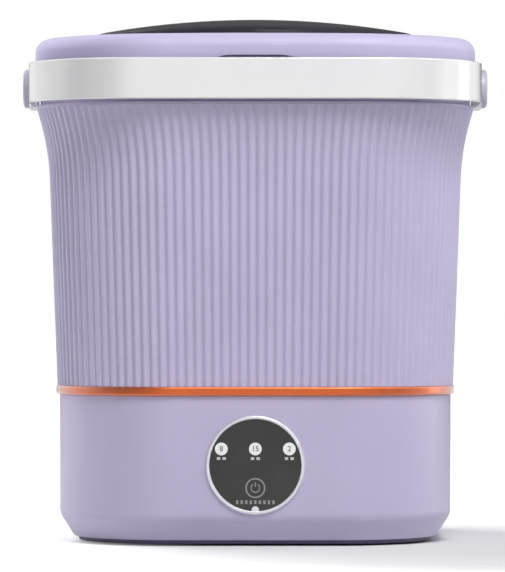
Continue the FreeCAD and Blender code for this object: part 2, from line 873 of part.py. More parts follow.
def make_wash_tub():
    inner_top = tub_top_half - s.tub_wall
    floor_half = tub_half - s.tub_bottom_radius - s.floor_margin
    floor_edge = floor_half - s.floor_lap
    flange_half = tub_top_half + s.tub_flange
    body = square_ring("wash_tub", tub_half, s.tub_corner, [
        (floor_edge, base_top), (tub_half, base_top, s.tub_bottom_radius), (tub_top_half, collar_top),
        (flange_half, collar_top), (flange_half, flange_top, s.flange_thickness / 3),
        (inner_top, flange_top, s.flange_thickness / 2),
        (tub_half - s.tub_wall, tub_floor_top, s.tub_bottom_radius - s.tub_wall),
        (floor_edge, tub_floor_top)])
    floor = sketch_on(body, "XY", base_top)
    rounded_square(floor, floor_half, floor_half - tub_centre)
    pad(body, floor, s.tub_floor)
    boss = sketch_on(body, "XY", base_top)
    circle(boss, 0, 0, s.seal_boss_radius)
    pad(body, boss, s.tub_floor + s.seal_boss_height)
    seal_seat = sketch_on(body, "XY", seal_boss_top)
    circle(seal_seat, 0, 0, s.shaft_seal_radius)
    pocket(body, seal_seat, s.shaft_seal_height)
    shaft_hole = sketch_on(body, "XY", seal_boss_top)
    circle(shaft_hole, 0, 0, s.shaft_seal_radius - s.seal_land)
    pocket(body, shaft_hole)
    drain_seat = sketch_on(body, "XY", tub_floor_top)
    circle(drain_seat, s.drain_x, s.drain_y, s.strainer_radius + s.cover_gap)
    pocket(body, drain_seat, s.strainer_thickness)
    drain_hole = sketch_on(body, "XY", tub_floor_top)
    circle(drain_hole, s.drain_x, s.drain_y, s.drain_bore)
    pocket(body, drain_hole)
    screw_holes = sketch_on(body, "XY", flange_top)
    circles(screw_holes, rim_points(), s.screw_radius + s.screw_gap)
    pocket(body, screw_holes, s.flange_thickness + MERGE)
    return keep(body)


def make_rim_collar():
    wall = s.collar_wall
    corner = collar_half - lid_centre
    flange = collar_half + s.collar_inset * 0.8
    body = square_ring("rim_collar", collar_half, corner, [
        (flange, casing_top), (flange, casing_top + wall, wall / 3), (collar_half, casing_top + wall),
        (collar_half, collar_top, wall / 3), (collar_half - s.collar_ledge, collar_top),
        (collar_half - s.collar_ledge, collar_top - wall), (collar_half - wall, collar_top - wall),
        (collar_half - wall, casing_top + wall), (collar_half - 2 * wall, casing_top + wall),
        (collar_half - 2 * wall, casing_top)])
    boss_inner = collar_half - wall - s.pivot_boss_depth
    for side in SIDES:
        boss = sketch_on(body, "YZ", side * boss_inner)
        circle(boss, 0, pivot_level, s.pivot_boss_radius)
        pad(body, boss, boss_face() - boss_inner, back=side < 0)
    for side in SIDES:
        thread = sketch_on(body, "YZ")
        circle(thread, 0, pivot_level, pivot_thread() + s.screw_gap)
        pocket(body, thread, back=side > 0)
    screw_holes = sketch_on(body, "XY", collar_top)
    circles(screw_holes, rim_points(), s.screw_radius + s.screw_gap)
    pocket(body, screw_holes, wall + MERGE)
    return keep(body)


def boss_face():
    """Outer face of the handle's pivot bosses."""
    return handle_inner - s.pivot_boss_gap


def pivot_thread():
    return s.pivot_radius * 0.6


def make_rim_screws():
    length = s.flange_thickness + s.collar_wall + s.rim_screw_bite
    one = screw_body("rim_screw", length, rim_screw_offset, rim_screw_line, flange_top)
    other = screw_body("side_rim_screw", length, rim_screw_line, rim_screw_offset, flange_top)
    mirrored_group("rim_screws", [one, other], (X_NORMAL, Y_NORMAL))


def make_lid_frame():
    body = new_body("lid_frame")
    block = sketch_on(body, "XY", lid_low)
    rounded_square(block, lid_half, s.lid_corner)
    pad(body, block, s.lid_height + s.lid_edge_radius)
    crown_top = lid_top + s.lid_crown_radius - root(
        s.lid_crown_radius * s.lid_crown_radius - s.window_radius * s.window_radius)
    above = sketch_on(body, "XZ")
    crown(above, lid_half * 1.4, crown_top, s.lid_crown_radius, lid_top + 2 * s.lid_edge_radius)
    turned(body, above, cut=True)
    upper_half = lid_low.value + s.lid_height.value / 2
    rounded(body, s.lid_edge_radius, lambda edge: edge.BoundBox.ZMin > upper_half)

    skirt_inside = sketch_on(body, "XY", lid_low)
    rounded_square(skirt_inside, lid_half - s.lid_wall, s.lid_corner - s.lid_wall)
    pocket(body, skirt_inside, s.lid_height - s.lid_edge_radius - s.lid_shoulder, back=True)
    ceiling = sketch_on(body, "XY", lid_low)
    rounded_square(ceiling, lid_half - s.lid_step, s.lid_corner - s.lid_step)
    pocket(body, ceiling, lid_ceiling - lid_low, back=True)

    seal_rib = sketch_on(body, "XY", seal_top)
    rib_inset = s.lid_step - s.rib_overlap
    rounded_square(seal_rib, lid_half - rib_inset, s.lid_corner - rib_inset)
    rounded_square(seal_rib, seal_inner(), seal_inner() - tub_centre)
    pad(body, seal_rib, lid_ceiling + MERGE - seal_top)

    opening = sketch_on(body, "XY", lid_top + s.lid_edge_radius)
    circle(opening, 0, 0, s.window_radius - s.window_ledge)
    pocket(body, opening)
    seat = sketch_on(body, "XY", lid_top + s.lid_edge_radius)
    circle(seat, 0, 0, s.window_radius + s.window_gap)
    pocket(body, seat, s.lid_edge_radius + s.window_seat)

    notch = sketch_on(body, "XZ", lid_half - s.lid_wall - s.notch_depth)
    foot, top = s.notch_width / 2, s.notch_width * 0.2
    slope_low, slope_top = lid_low - s.notch_run_out, lid_low + s.notch_rise
    flank = foot + (foot - top) * s.notch_run_out / s.notch_rise
    outline(notch, [(-flank, slope_low), (flank, slope_low), (top, slope_top, s.notch_corner),
                    (-top, slope_top, s.notch_corner)])
    pocket(body, notch, back=True)
    return keep(body)


def make_lid_liner():
    """Ring under the lid that plugs into the tub's mouth, flanged where it is fixed to the lid."""
    outer = tub_top_half - s.tub_wall - s.plug_gap
    inner = outer - s.plug_wall
    flange = outer + s.plug_flange
    flange_low = lid_ceiling - s.plug_flange_thickness
    low = flange_top - s.plug_depth
    return keep(square_ring("lid_liner", outer, outer - tub_centre, [
        (inner, low), (outer, low, s.seal_edge), (outer, flange_low), (flange, flange_low),
        (flange, lid_ceiling),
        (inner, lid_ceiling)]))


def seal_inner():
    return tub_top_half + s.seal_inset


def make_lid_window():
    body = new_body("lid_window")
    low = lid_top - s.window_seat
    crown_radius = s.window_crown_radius
    top = lid_top + s.window_edge + crown_radius - root(
        crown_radius * crown_radius - s.window_radius * s.window_radius)
    solid = sketch_on(body, "XZ")
    crown(solid, s.window_radius, top, crown_radius, low)
    turned(body, solid)
    rounded(body, s.window_thickness * 2, lambda edge: edge.BoundBox.ZMin > lid_top.value + 1)
    hollow = sketch_on(body, "XZ")
    crown(hollow, s.window_radius - s.window_thickness * 1.5, top - s.window_thickness,
          crown_radius - s.window_thickness, low - MERGE)
    turned(body, hollow, cut=True)
    return keep(body)


def make_lid_seal():
    inner, outer = seal_inner(), seal_inner() + s.seal_width
    return keep(square_ring("lid_seal", inner, inner - tub_centre, [
        (inner, flange_top, s.seal_edge), (outer, flange_top, s.seal_edge), (outer, seal_top),
        (inner, seal_top)]))


def band_section(sketch, middle):
    """Cross-section of the handle's band, around the middle of its thickness."""
    edge = s.handle_thickness * 0.45
    rectangle(sketch, s.handle_thickness, s.handle_height, edge, middle, pivot_level)


def make_carry_handle():
    """Straight front of the handle's band, which the hand holds."""
    body = new_body("carry_handle")
    section = sketch_on(body, "YZ", -grip_half)
    band_section(section, -handle_middle)
    pad(body, section, 2 * grip_half)
    return keep(body)


def make_handle_corners():
    """Bends that join the front of the handle's band to its arms."""
    bend = new_body("handle_corner_bend")
    spine = sketch_on(bend, "XY", pivot_level)
    bend_radius = s.handle_corner + s.handle_thickness / 2
    outline(spine, [(handle_side, -arm_length), (handle_side, -handle_middle, bend_radius),
                    (grip_half, -handle_middle)], closed=False)
    section = sketch_on(bend, "XZ", arm_length)
    band_section(section, handle_side)
    swept(bend, section, spine)
    mirrored_group("handle_corners", [bend], (X_NORMAL,))


def make_handle_arms():
    """Straight sides of the handle's band, each with an eye that turns on its pivot."""
    arm = new_body("handle_arm")
    section = sketch_on(arm, "XZ")
    band_section(section, handle_side)
    pad(arm, section, arm_length)
    face = handle_inner + s.eye_thickness
    eye = sketch_on(arm, "YZ", handle_inner)
    circle(eye, 0, pivot_level, s.eye_radius)
    pad(arm, eye, s.eye_thickness)
    well = sketch_on(arm, "YZ", face)
    circle(well, 0, pivot_level, s.eye_radius / 2)
    pocket(arm, well, s.eye_bore_depth)
    bore = sketch_on(arm, "YZ", face)
    circle(bore, 0, pivot_level, s.pivot_radius + s.pivot_gap)
    pocket(arm, bore, s.eye_thickness + MERGE)

    def eye_rim(edge):
        at_face = abs(edge.CenterOfMass.x - face.value) < 0.01 and edge.BoundBox.XLength < 0.01
        return at_face and edge.BoundBox.ZLength > 1.5 * s.eye_radius.value

    rounded(arm, s.eye_edge_radius, eye_rim)
    mirrored_group("handle_arms", [arm], (X_NORMAL,))


def make_pivots():
    shoulder = s.eye_thickness - s.eye_bore_depth + s.pivot_boss_gap + s.pivot_play
    thread, thread_end = pivot_thread(), -s.pivot_thread_length
    head = s.eye_radius / 2 - 1
    head_top = shoulder + s.pivot_head
    screw = turned_body("pivot_screw", [
        (0, thread_end), (thread, thread_end), (thread, 0), (s.pivot_radius, 0), (s.pivot_radius, shoulder),
        (head, shoulder), (head, head_top, s.pivot_head / 3), (0, head_top)])
    slot = sketch_on(screw, "XY", head_top)
    rectangle(slot, head * 1.4, head * 0.25, head * 0.1)
    pocket(screw, slot, s.pivot_head / 2)
    place(screw, boss_face(), 0, pivot_level, TO_RIGHT)
    mirrored_group("pivot_screws", [screw], (X_NORMAL,))

    cap = turned_body("pivot_cap", [
        (0, 0), (s.cap_radius, 0), (s.cap_radius, s.cap_thickness, s.cap_thickness * 0.6),
        (0, s.cap_thickness)])
    place(cap, handle_inner + s.eye_thickness, 0, pivot_level, TO_RIGHT)
    mirrored_group("pivot_caps", [cap], (X_NORMAL,))


def on_panel(body):
    """Puts a piece drawn around the panel's centre, facing out of the front wall."""
    place(body, 0, -base_half, panel_level, TO_FRONT)
    return keep(body)


def key_tab():
    """Centre and radius of the bezel's tab at the foot of the panel."""
    return -(s.panel_radius - s.panel_rim - s.tab_inset), s.tab_radius


def make_panel_bezel():
    inner = s.panel_radius - s.panel_rim
    sleeve = s.panel_hole - s.deck_gap
    sleeve_end = -(s.base_wall + 3)
    body = turned_body("panel_bezel", [
        (sleeve_inner(), sleeve_end), (sleeve, sleeve_end), (sleeve, 0), (s.panel_radius, 0),
        (s.panel_radius, s.panel_proud, s.panel_proud * 0.6), (inner, s.panel_proud, 0.3), (inner, s.lens_sink),
        (sleeve_inner(), s.lens_sink)])
    tab_y, tab_radius = key_tab()
    tab = sketch_on(body, "XY", s.lens_sink)
    circle(tab, 0, tab_y, tab_radius)
    pad(body, tab, s.lens_thickness)
    return on_panel(body)


def sleeve_inner():
    return s.panel_hole - s.deck_gap - s.sleeve_wall


def make_panel_lens():
    body = new_body("panel_lens")
    disc = sketch_on(body, "XY", s.lens_sink)
    circle(disc, 0, 0, s.panel_radius - s.panel_rim - s.window_gap)
    pad(body, disc, s.lens_thickness)
    tab_y, tab_radius = key_tab()
    notch = sketch_on(body, "XY", s.lens_sink + s.lens_thickness)
    circle(notch, 0, tab_y, tab_radius + s.window_gap)
    pocket(body, notch)
    return on_panel(body)


def make_panel_carrier():
    outer = sleeve_inner() - s.window_gap
    back = -(s.base_wall + s.board_setback)
    inner = outer - s.sleeve_wall
    plate = s.lens_sink - s.carrier_plate
    body = turned_body("panel_carrier", [
        (0, plate), (inner, plate), (inner, back), (outer, back), (outer, s.lens_sink), (0, s.lens_sink)])
    windows = sketch_on(body, "XY", s.lens_sink)
    circles(windows, key_points(), s.touch_pad_radius + s.touch_pad_gap)
    pocket(body, windows, s.carrier_plate + MERGE)
    return on_panel(body)


def make_touch_pads():
    body = new_body("touch_pads")
    back = -(s.base_wall + s.board_setback)
    pads = sketch_on(body, "XY", back)
    circles(pads, key_points(), s.touch_pad_radius)
    pad(body, pads, s.lens_sink - back)
    return on_panel(body)


def make_control_board():
    front = -(s.base_wall + s.board_setback)
    body = new_body("control_board")
    sheet = sketch_on(body, "XY", front)
    rectangle(sheet, s.board_width, s.board_height, s.board_corner)
    pad(body, sheet, s.board_thickness, back=True)
    holes = sketch_on(body, "XY", front)
    circles(holes, [(x, z - panel_level) for x, z in board_points()], s.screw_radius + s.screw_gap)
    pocket(body, holes)
    on_panel(body)

    parts = new_body("board_components")
    blocks = sketch_on(parts, "XY", front - s.board_thickness)
    power_plug, motor_plug = lead_ends()
    for across, level in ((power_plug, s.jack_level), (motor_plug, motor_lead_level())):
        rectangle(blocks, s.plug_width, s.plug_height, 0.6, across, level - panel_level)
    rectangle(blocks, s.relay_width, s.relay_height, 0.8, s.board_width * 0.28, -s.board_height * 0.18)
    circle(blocks, -s.board_width * 0.3, s.board_height * 0.2, s.capacitor_radius)
    circle(blocks, s.board_width * 0.05, -s.board_height * 0.32, s.buzzer_radius)
    pad(parts, blocks, plug_depth(), back=True)
    on_panel(parts)

    lower, upper = board_points()[2], board_points()[3]
    back = -(base_inner - s.board_setback - s.board_thickness)
    length = s.board_setback + s.board_thickness - 1
    screws = [screw_body("board_screw", length, x, back, z, TO_BACK) for x, z in (lower, upper)]
    mirrored_group("board_screws", screws, (X_NORMAL,))


def plug_depth():
    return s.board_setback + s.plug_reach


def lead_ends():
    """Where the supply and motor leads plug into the board, across the machine."""
    return -s.board_width * 0.3, s.board_width * 0.12


def motor_lead_level():
    return panel_level + s.board_height * 0.22


def make_lead(label, level, route, section_plane):
    """A round lead on a level route; its section is drawn where the route starts."""
    body = new_body(label)
    spine = sketch_on(body, "XY", level)
    outline(spine, route, closed=False)
    x, y = route[0]
    across, offset = (x, -y) if section_plane == "XZ" else (y, x)
    section = sketch_on(body, section_plane, offset)
    circle(section, across, level, s.lead_radius)
    swept(body, section, spine)
    return keep(body)


def make_leads():
    """Supply lead from the power inlet and motor lead, both led around the side to the control board."""
    power_plug, motor_plug = lead_ends()
    board_back = -(base_inner - s.board_setback - s.board_thickness - plug_depth())
    jack_tail = base_half - s.jack_length
    turn_in = jack_tail - s.jack_lead_run
    side = base_centre + s.base_corner * 0.55
    bend = s.base_corner * 0.3
    inner_side = side - s.lead_spacing
    front = s.lead_margin - side
    inner_front = front + s.lead_spacing
    make_lead("power_lead", s.jack_level, [
        (-s.jack_x, jack_tail), (-s.jack_x, turn_in, s.lead_bend), (-side, turn_in, bend), (-side, front, bend),
        (power_plug, front, s.lead_bend), (power_plug, board_back)], "XZ")
    make_lead("motor_lead", motor_lead_level(), [
        (-s.motor_radius, s.motor_offset), (-inner_side, s.motor_offset, bend),
        (-inner_side, inner_front, bend),
        (motor_plug, inner_front, s.lead_bend), (motor_plug, board_back)], "YZ")


def make_deck():
    half = base_inner - s.deck_gap
    body = new_body("base_deck")
    plate = sketch_on(body, "XY", deck_low)
    rounded_square(plate, half, half - base_centre)
    pad(body, plate, s.deck_thickness)
    holes = sketch_on(body, "XY", base_top)
    circle(holes, 0, 0, s.bearing_radius - 2)
    circle(holes, s.drain_x, s.drain_y, s.drain_radius + s.deck_gap)
    circles(holes, deck_screw_points(), s.screw_radius + s.screw_gap)
    circles(holes, housing_screw_points(), s.screw_radius + s.screw_gap)
    circles(holes, post_points(), s.post_radius / 2 + s.screw_gap)
    pocket(body, holes)
    keep(body)
    screw = screw_body("deck_screw", s.deck_thickness + s.ledge_thickness - MERGE, deck_screw_line,
                       s.boss_spacing / 2, base_top)
    mirrored_group("deck_screws", [screw], (X_NORMAL, Y_NORMAL))


def housing_screw_points():
    reach = (s.bearing_radius + s.housing_wall + s.housing_flange) * 0.37
    return [(x * reach, y * reach) for x, y in CORNERS]


def make_bearing_housing():
    seat, sleeve = s.bearing_radius, s.bearing_radius + s.housing_wall
    bore = s.bearing_radius - s.housing_step
    flange_low = deck_low - s.housing_flange_thickness
    lower_top = lower_bearing_low + s.bearing_width
    body = turned_body("bearing_housing", [
        (seat, deck_low), (s.housing_flange, deck_low), (s.housing_flange, flange_low), (sleeve, flange_low),
        (sleeve, housing_low), (seat, housing_low), (seat, lower_top), (bore, lower_top),
        (bore, upper_bearing_low), (seat, upper_bearing_low)])
    gusset = sketch_on(body, "XZ")
    outline(gusset, [
        (sleeve - 1, flange_low + 1), (sleeve - 1, flange_low - s.bearing_spacing / 2),
        (s.housing_flange - 1.5, flange_low + 1)])
    web = pad(body, gusset, s.gusset_thickness)
    web.Midplane = True
    pattern = around(body, web, 4)
    pattern.Axis = (gusset, ["V_Axis"])
    holes = sketch_on(body, "XY", deck_low)
    circles(holes, housing_screw_points(), s.screw_radius + s.screw_gap)
    pocket(body, holes, s.housing_flange_thickness + MERGE)
    keep(body)
    x, y = housing_screw_points()[3]
    screw = screw_body("housing_screw", s.housing_flange_thickness + s.deck_thickness - MERGE, x, y, flange_low,
                       UPSIDE_DOWN)
    mirrored_group("housing_screws", [screw], (X_NORMAL, Y_NORMAL))


def make_bearings():
    bore = s.spindle_radius + s.running_gap
    race = (s.bearing_radius - s.spindle_radius) * 0.32
    inner_race, outer_race = s.spindle_radius + race, s.bearing_radius - race
    for label, low in (("upper_bearing", upper_bearing_low), ("lower_bearing", lower_bearing_low)):
        top = low + s.bearing_width
        shield = s.bearing_shield
        keep(turned_body(label, [
            (bore, low), (inner_race, low), (inner_race, low + shield), (outer_race, low + shield),
            (outer_race, low), (s.bearing_radius, low), (s.bearing_radius, top), (outer_race, top),
            (outer_race, top - shield), (inner_race, top - shield), (inner_race, top), (bore, top)]))
    seal_low = seal_boss_top - s.shaft_seal_height
    lip, lip_top = s.spindle_radius + s.seal_lip, seal_low + s.seal_lip_height
    keep(turned_body("shaft_seal", [
        (bore, seal_low), (s.shaft_seal_radius, seal_low), (s.shaft_seal_radius, seal_boss_top),
        (lip, seal_boss_top), (lip, lip_top), (bore, lip_top)]))


def make_spindle():
    nut_low = pulley_hub_low - s.pulley_nut_height
    tip_low = nut_low - s.thread_step
    thread = s.journal_radius - s.thread_step
    keep(turned_body("drive_spindle", [
        (0, tip_low), (thread, tip_low), (thread, pulley_hub_low), (s.journal_radius, pulley_hub_low),
        (s.journal_radius, pulley_hub_top), (s.spindle_radius, pulley_hub_top), (s.spindle_radius, hub_low),
        (s.journal_radius, hub_low), (s.journal_radius, spindle_top), (0, spindle_top)]))
    nut = new_body("pulley_nut")
    prism = sketch_on(nut, "XY", nut_low)
    hexagon(prism, 3 * s.journal_radius)
    circle(prism, 0, 0, thread)
    pad(nut, prism, pulley_hub_low - nut_low)
    keep(nut)


def grooved_rim(pitch):
    """Outer side of a round-belt pulley from its top to its foot, with the belt groove at the pitch radius."""
    groove = s.belt_radius + s.belt_gap
    rim = pitch + s.belt_radius
    low, top = s.belt_level - s.rim_half_height, s.belt_level + s.rim_half_height
    floor = pitch - groove
    nook = groove * 0.98
    return [(rim, top, 0.6), (rim, s.belt_level + groove), (floor, s.belt_level + groove, nook),
            (floor, s.belt_level - groove, nook), (rim, s.belt_level - groove), (rim, low, 0.6)]


def make_pulleys():
    pitch, hub = s.pulley_pitch, s.journal_radius * 2.2
    low, top = s.belt_level - s.rim_half_height, s.belt_level + s.rim_half_height
    rim_inner = pitch - s.belt_radius - s.belt_gap - s.pulley_rim_wall
    web_low, web_top = s.belt_level - s.web_thickness / 2, s.belt_level + s.web_thickness / 2
    body = turned_body("drive_pulley", [
        (s.journal_radius, pulley_hub_top), (hub, pulley_hub_top), (hub, web_top), (rim_inner, web_top),
        (rim_inner, top)] + grooved_rim(pitch) + [
        (rim_inner, low), (rim_inner, web_low), (hub, web_low), (hub, pulley_hub_low),
        (s.journal_radius, pulley_hub_low)])
    hole = sketch_on(body, "XY", web_top)
    circle(hole, 0, (hub + rim_inner) / 2, s.web_hole_radius)
    around(body, pocket(body, hole, s.web_thickness), s.web_hole_count)
    keep(body)

    small = turned_body("motor_pulley", [(s.motor_shaft_radius, top)] + grooved_rim(s.motor_pulley_pitch) + [
        (s.motor_shaft_radius, low)])
    place(small, 0, s.motor_offset)
    keep(small)


def make_belt():
    """Round belt: an arc around each pulley and two straight runs touching both."""
    big, little, apart = s.pulley_pitch, s.motor_pulley_pitch, s.motor_offset
    lean = math.asin((big.value - little.value) / apart.value)
    body = new_body("drive_belt")
    path = sketch_on(body, "XY", s.belt_level)
    up = Vector(0, 0, 1)
    far = Vector(0, apart.value, 0)
    wrap = path.addGeometry(
        Part.ArcOfCircle(Part.Circle(Vector(), up, big.value), math.pi - lean, 2 * math.pi + lean), False)
    tip = path.addGeometry(Part.ArcOfCircle(Part.Circle(far, up, little.value), lean, math.pi - lean), False)
    out = Vector(math.cos(lean), math.sin(lean), 0)
    mirror = Vector(-out.x, out.y, 0)
    right = path.addGeometry(Part.LineSegment(out * big.value, far + out * little.value), False)
    left = path.addGeometry(Part.LineSegment(far + mirror * little.value, mirror * big.value), False)
    for first, second in ((wrap, right), (right, tip), (tip, left), (left, wrap)):
        path.addConstraint(Sketcher.Constraint("Tangent", first, 2, second, 1))
    path.addConstraint(Sketcher.Constraint("Coincident", wrap, 3, -1, 1))
    locate(path, tip, 3, 0, apart)
    measure(path, "Radius", (wrap,), big)
    measure(path, "Radius", (tip,), little)
    section = sketch_on(body, "YZ")
    circle(section, -big, s.belt_level, s.belt_radius)
    swept(body, section, path)
    return keep(body)


def make_motor():
    low, top = bracket_top, bracket_top + s.motor_length
    bore = s.motor_shaft_radius + s.running_gap
    nose = s.motor_shaft_radius * 2.1
    inner_end = low + s.motor_length * 0.6
    bell, bell_low = s.motor_radius - s.end_bell_step, top - s.end_bell_height
    can = turned_body("motor_body", [
        (0, inner_end), (bore, inner_end), (bore, s.bracket_level), (nose, s.bracket_level), (nose, low),
        (s.motor_radius, low, 2), (s.motor_radius, bell_low), (bell, bell_low), (bell, top, 3), (0, top)])
    place(can, 0, s.motor_offset)
    keep(can)
    shaft_low = s.belt_level - s.rim_half_height - 2
    shaft = turned_body("motor_shaft", [
        (0, shaft_low), (s.motor_shaft_radius, shaft_low, 0.6), (s.motor_shaft_radius, inner_end - 1),
        (0, inner_end - 1)])
    place(shaft, 0, s.motor_offset)
    keep(shaft)

    plate = new_body("motor_bracket")
    sheet = sketch_on(plate, "XY", s.bracket_level)
    rectangle(sheet, s.bracket_width, s.bracket_depth, s.post_radius, 0, s.motor_offset)
    circle(sheet, 0, s.motor_offset, nose + s.cover_gap)
    circles(sheet, post_points(), s.screw_radius + s.screw_gap)
    circles(sheet, motor_screw_points(), s.screw_radius + s.screw_gap)
    pad(plate, sheet, s.bracket_thickness)
    keep(plate)
    make_motor_mounts()


def motor_screw_points():
    return [(x * s.motor_radius * 0.6, s.motor_offset) for x in SIDES]


def make_motor_mounts():
    posts = []
    screws = []
    stud = s.post_radius / 2
    depth = s.mount_thread_depth
    for x, y in post_points()[2:]:
        post = turned_body("post", [
            (0, bracket_top + depth), (s.screw_radius + s.screw_gap, bracket_top + depth),
            (s.screw_radius + s.screw_gap, bracket_top), (s.post_radius, bracket_top),
            (s.post_radius, deck_low),
            (stud, deck_low), (stud, base_top - MERGE), (0, base_top - MERGE)])
        place(post, x, y)
        posts.append(post)
        length = s.bracket_thickness + depth - 2
        screws.append(screw_body("bracket_screw", length, x, y, s.bracket_level, UPSIDE_DOWN))
    mirrored_group("bracket_posts", posts, (X_NORMAL,))
    mirrored_group("bracket_screws", screws, (X_NORMAL,))
    x, y = motor_screw_points()[1]
    screw = screw_body("motor_screw", s.bracket_thickness, x, y, s.bracket_level, UPSIDE_DOWN)
    mirrored_group("motor_screws", [screw], (X_NORMAL,))


def make_pulsator():
    radius, hub, wall = s.pulsator_radius, s.hub_radius, s.pulsator_wall
    dish_top = pulsator_rim_top + s.pulsator_dish
    lip = radius - wall
    body = turned_body("pulsator", [
        (s.journal_radius, hub_low), (hub, hub_low), (hub, dish_top - wall), (lip, pulsator_rim_top - wall),
        (lip, pulsator_low), (radius, pulsator_low), (radius, pulsator_rim_top, wall), (hub, dish_top),
        (hub, hub_top), (s.journal_radius, hub_top)])
    vane_low = pulsator_low + 1
    vane_top = pulsator_rim_top + s.vane_height
    vane = sketch_on(body, "XY")
    vane.AttachmentOffset = Placement(Vector(), Rotation(Vector(0, 0, 1), 45))
    bind(vane, "AttachmentOffset.Base.z", vane_low)
    inner, tip = s.seal_boss_radius + 3, radius - 2.5 * wall
    inner_half, tip_half = s.vane_width / 2, s.vane_width * 0.35
    inner_nose, tip_nose = inner_half * 0.9, tip_half * 0.9
    outline(vane, [(inner, -inner_half, inner_nose), (tip, -tip_half, tip_nose), (tip, tip_half, tip_nose),
                   (inner, inner_half, inner_nose)])
    around(body, pad(body, vane, vane_top - vane_low), s.vane_count)
    rounded(body, s.vane_width * 0.25, at_level(vane_top))
    hole = sketch_on(body, "XY", dish_top)
    circle(hole, radius * 0.62, radius * 0.2, 3)
    around(body, pocket(body, hole), s.vane_count)
    keep(body)

    shank = s.journal_radius * 0.5
    head = s.hub_radius * 0.5
    head_top = hub_top + s.pulsator_screw_head
    keep(turned_body("pulsator_screw", [
        (0, spindle_top), (shank, spindle_top), (shank, hub_top), (head, hub_top), (head, head_top, 0.8),
        (0, head_top)]))
    cap_top = hub_top + s.pulsator_cap_height
    hollow, ceiling = head + s.cap_clearance, head_top + s.cap_clearance
    keep(turned_body("pulsator_cap", [
        (hollow, hub_top), (hub, hub_top), (hub, cap_top, s.pulsator_cap_height * 0.6), (0, cap_top),
        (0, ceiling), (hollow, ceiling)]))


def spigot_end():
    return base_half + s.drain_flange_thickness + s.spigot_length


def make_drain():
    tail_end = base_inner - s.tail_setback
    elbow = new_body("drain_elbow")
    spine = sketch_on(elbow, "YZ", s.drain_x)
    outline(spine, [(s.drain_y, base_top), (s.drain_y, s.drain_level, s.drain_bend), (tail_end, s.drain_level)],
            closed=False)
    section = sketch_on(elbow, "XY", base_top)
    circle(section, s.drain_x, s.drain_y, s.drain_radius)
    swept(elbow, section, spine)
    socket_low, socket_end = tail_end - s.elbow_lap, tail_end + s.socket_depth
    sleeve = sketch_on(elbow, "XZ", -socket_low)
    circle(sleeve, s.drain_x, s.drain_level, s.drain_radius + s.socket_wall)
    pad(elbow, sleeve, socket_end - socket_low, back=True)
    socket = sketch_on(elbow, "XZ", -socket_end)
    circle(socket, s.drain_x, s.drain_level, s.drain_radius)
    pocket(elbow, socket, socket_end - tail_end, back=True)
    bore = sketch_on(elbow, "XY", base_top)
    circle(bore, s.drain_x, s.drain_y, s.drain_bore)
    swept(elbow, bore, spine, cut=True)
    keep(elbow)

    end = s.drain_flange_thickness + s.spigot_length
    spigot = turned_body("drain_spigot", [
        (s.drain_bore, tail_end - base_half), (s.drain_radius, tail_end - base_half), (s.drain_radius, 0),
        (s.drain_flange, 0), (s.drain_flange, s.drain_flange_thickness, 0.8),
        (s.drain_radius, s.drain_flange_thickness), (s.drain_radius, end), (s.drain_bore, end)])
    place(spigot, s.drain_x, base_half, s.drain_level, TO_BACK)
    keep(spigot)

    plug = s.drain_bore - s.running_gap
    head = s.drain_radius - 0.7
    stopper = turned_body("drain_stopper", [
        (0, -s.stopper_depth), (plug - 1, -s.stopper_depth), (plug, -s.stopper_depth + 3), (plug, 0), (head, 0),
        (head, s.stopper_head, 1.2), (0, s.stopper_head)])
    place(stopper, s.drain_x, spigot_end(), s.drain_level, TO_BACK)
    keep(stopper)

    strainer = turned_body("drain_strainer", [
        (0, tub_floor_top - s.strainer_thickness), (s.strainer_radius, tub_floor_top - s.strainer_thickness),
        (s.strainer_radius, tub_floor_top, 0.5), (0, tub_floor_top)])
    for ring, share in ((6, 0.35), (10, 0.68)):
        hole = sketch_on(strainer, "XY", tub_floor_top)
        circle(hole, share * s.strainer_radius, 0, s.strainer_radius * 0.11)
        around(strainer, pocket(strainer, hole), ring)
    place(strainer, s.drain_x, s.drain_y)
    keep(strainer)


def make_dc_jack():
    proud = s.jack_proud
    pin = s.jack_bore * 0.36
    well = -s.jack_length * 0.7
    jack = turned_body("dc_jack", [
        (0, -s.jack_length), (s.jack_radius, -s.jack_length), (s.jack_radius, 0), (s.jack_flange, 0),
        (s.jack_flange, proud, 0.6), (s.jack_bore, proud), (s.jack_bore, well), (pin, well), (pin, 1, 0.4),
        (0, 1)])
    place(jack, -s.jack_x, base_half, s.jack_level, TO_BACK)
    keep(jack)
    nut = new_body("dc_jack_nut")
    prism = sketch_on(nut, "XY", -s.base_wall)
    hexagon(prism, s.jack_radius * 2.7)
    circle(prism, 0, 0, s.jack_radius)
    pad(nut, prism, s.jack_nut_height, back=True)
    place(nut, -s.jack_x, base_half, s.jack_level, TO_BACK)
    keep(nut)


def write_nodes():
    """Checks every object of the document, then writes each node's solid."""
    doc.recompute()
    for item in doc.Objects:
        if {"Invalid", "Error"} & set(item.State):
            raise RuntimeError(f"{item.Label} did not build: {item.State}")
    os.makedirs("parts", exist_ok=True)
    for node in nodes:
        if node.Shape.isNull() or not node.Shape.isValid():
            raise RuntimeError(f"{node.Label} has no sound solid")
        node.Shape.exportStep(f"parts/{node.Label}.step")


for make in (
        make_base_housing, make_bottom_cover, make_feet, make_trim_ring, make_outer_casing, make_wash_tub,
        make_rim_collar, make_rim_screws, make_lid_frame, make_lid_liner, make_lid_window, make_lid_seal,
        make_carry_handle, make_handle_corners, make_handle_arms, make_pivots, make_panel_bezel,
        make_panel_lens, make_panel_carrier, make_touch_pads, make_control_board, make_leads, make_deck,
        make_bearing_housing, make_bearings, make_spindle, make_pulleys, make_belt, make_motor,
        make_pulsator, make_drain, make_dc_jack):
    make()
write_nodes()
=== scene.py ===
import json
import math

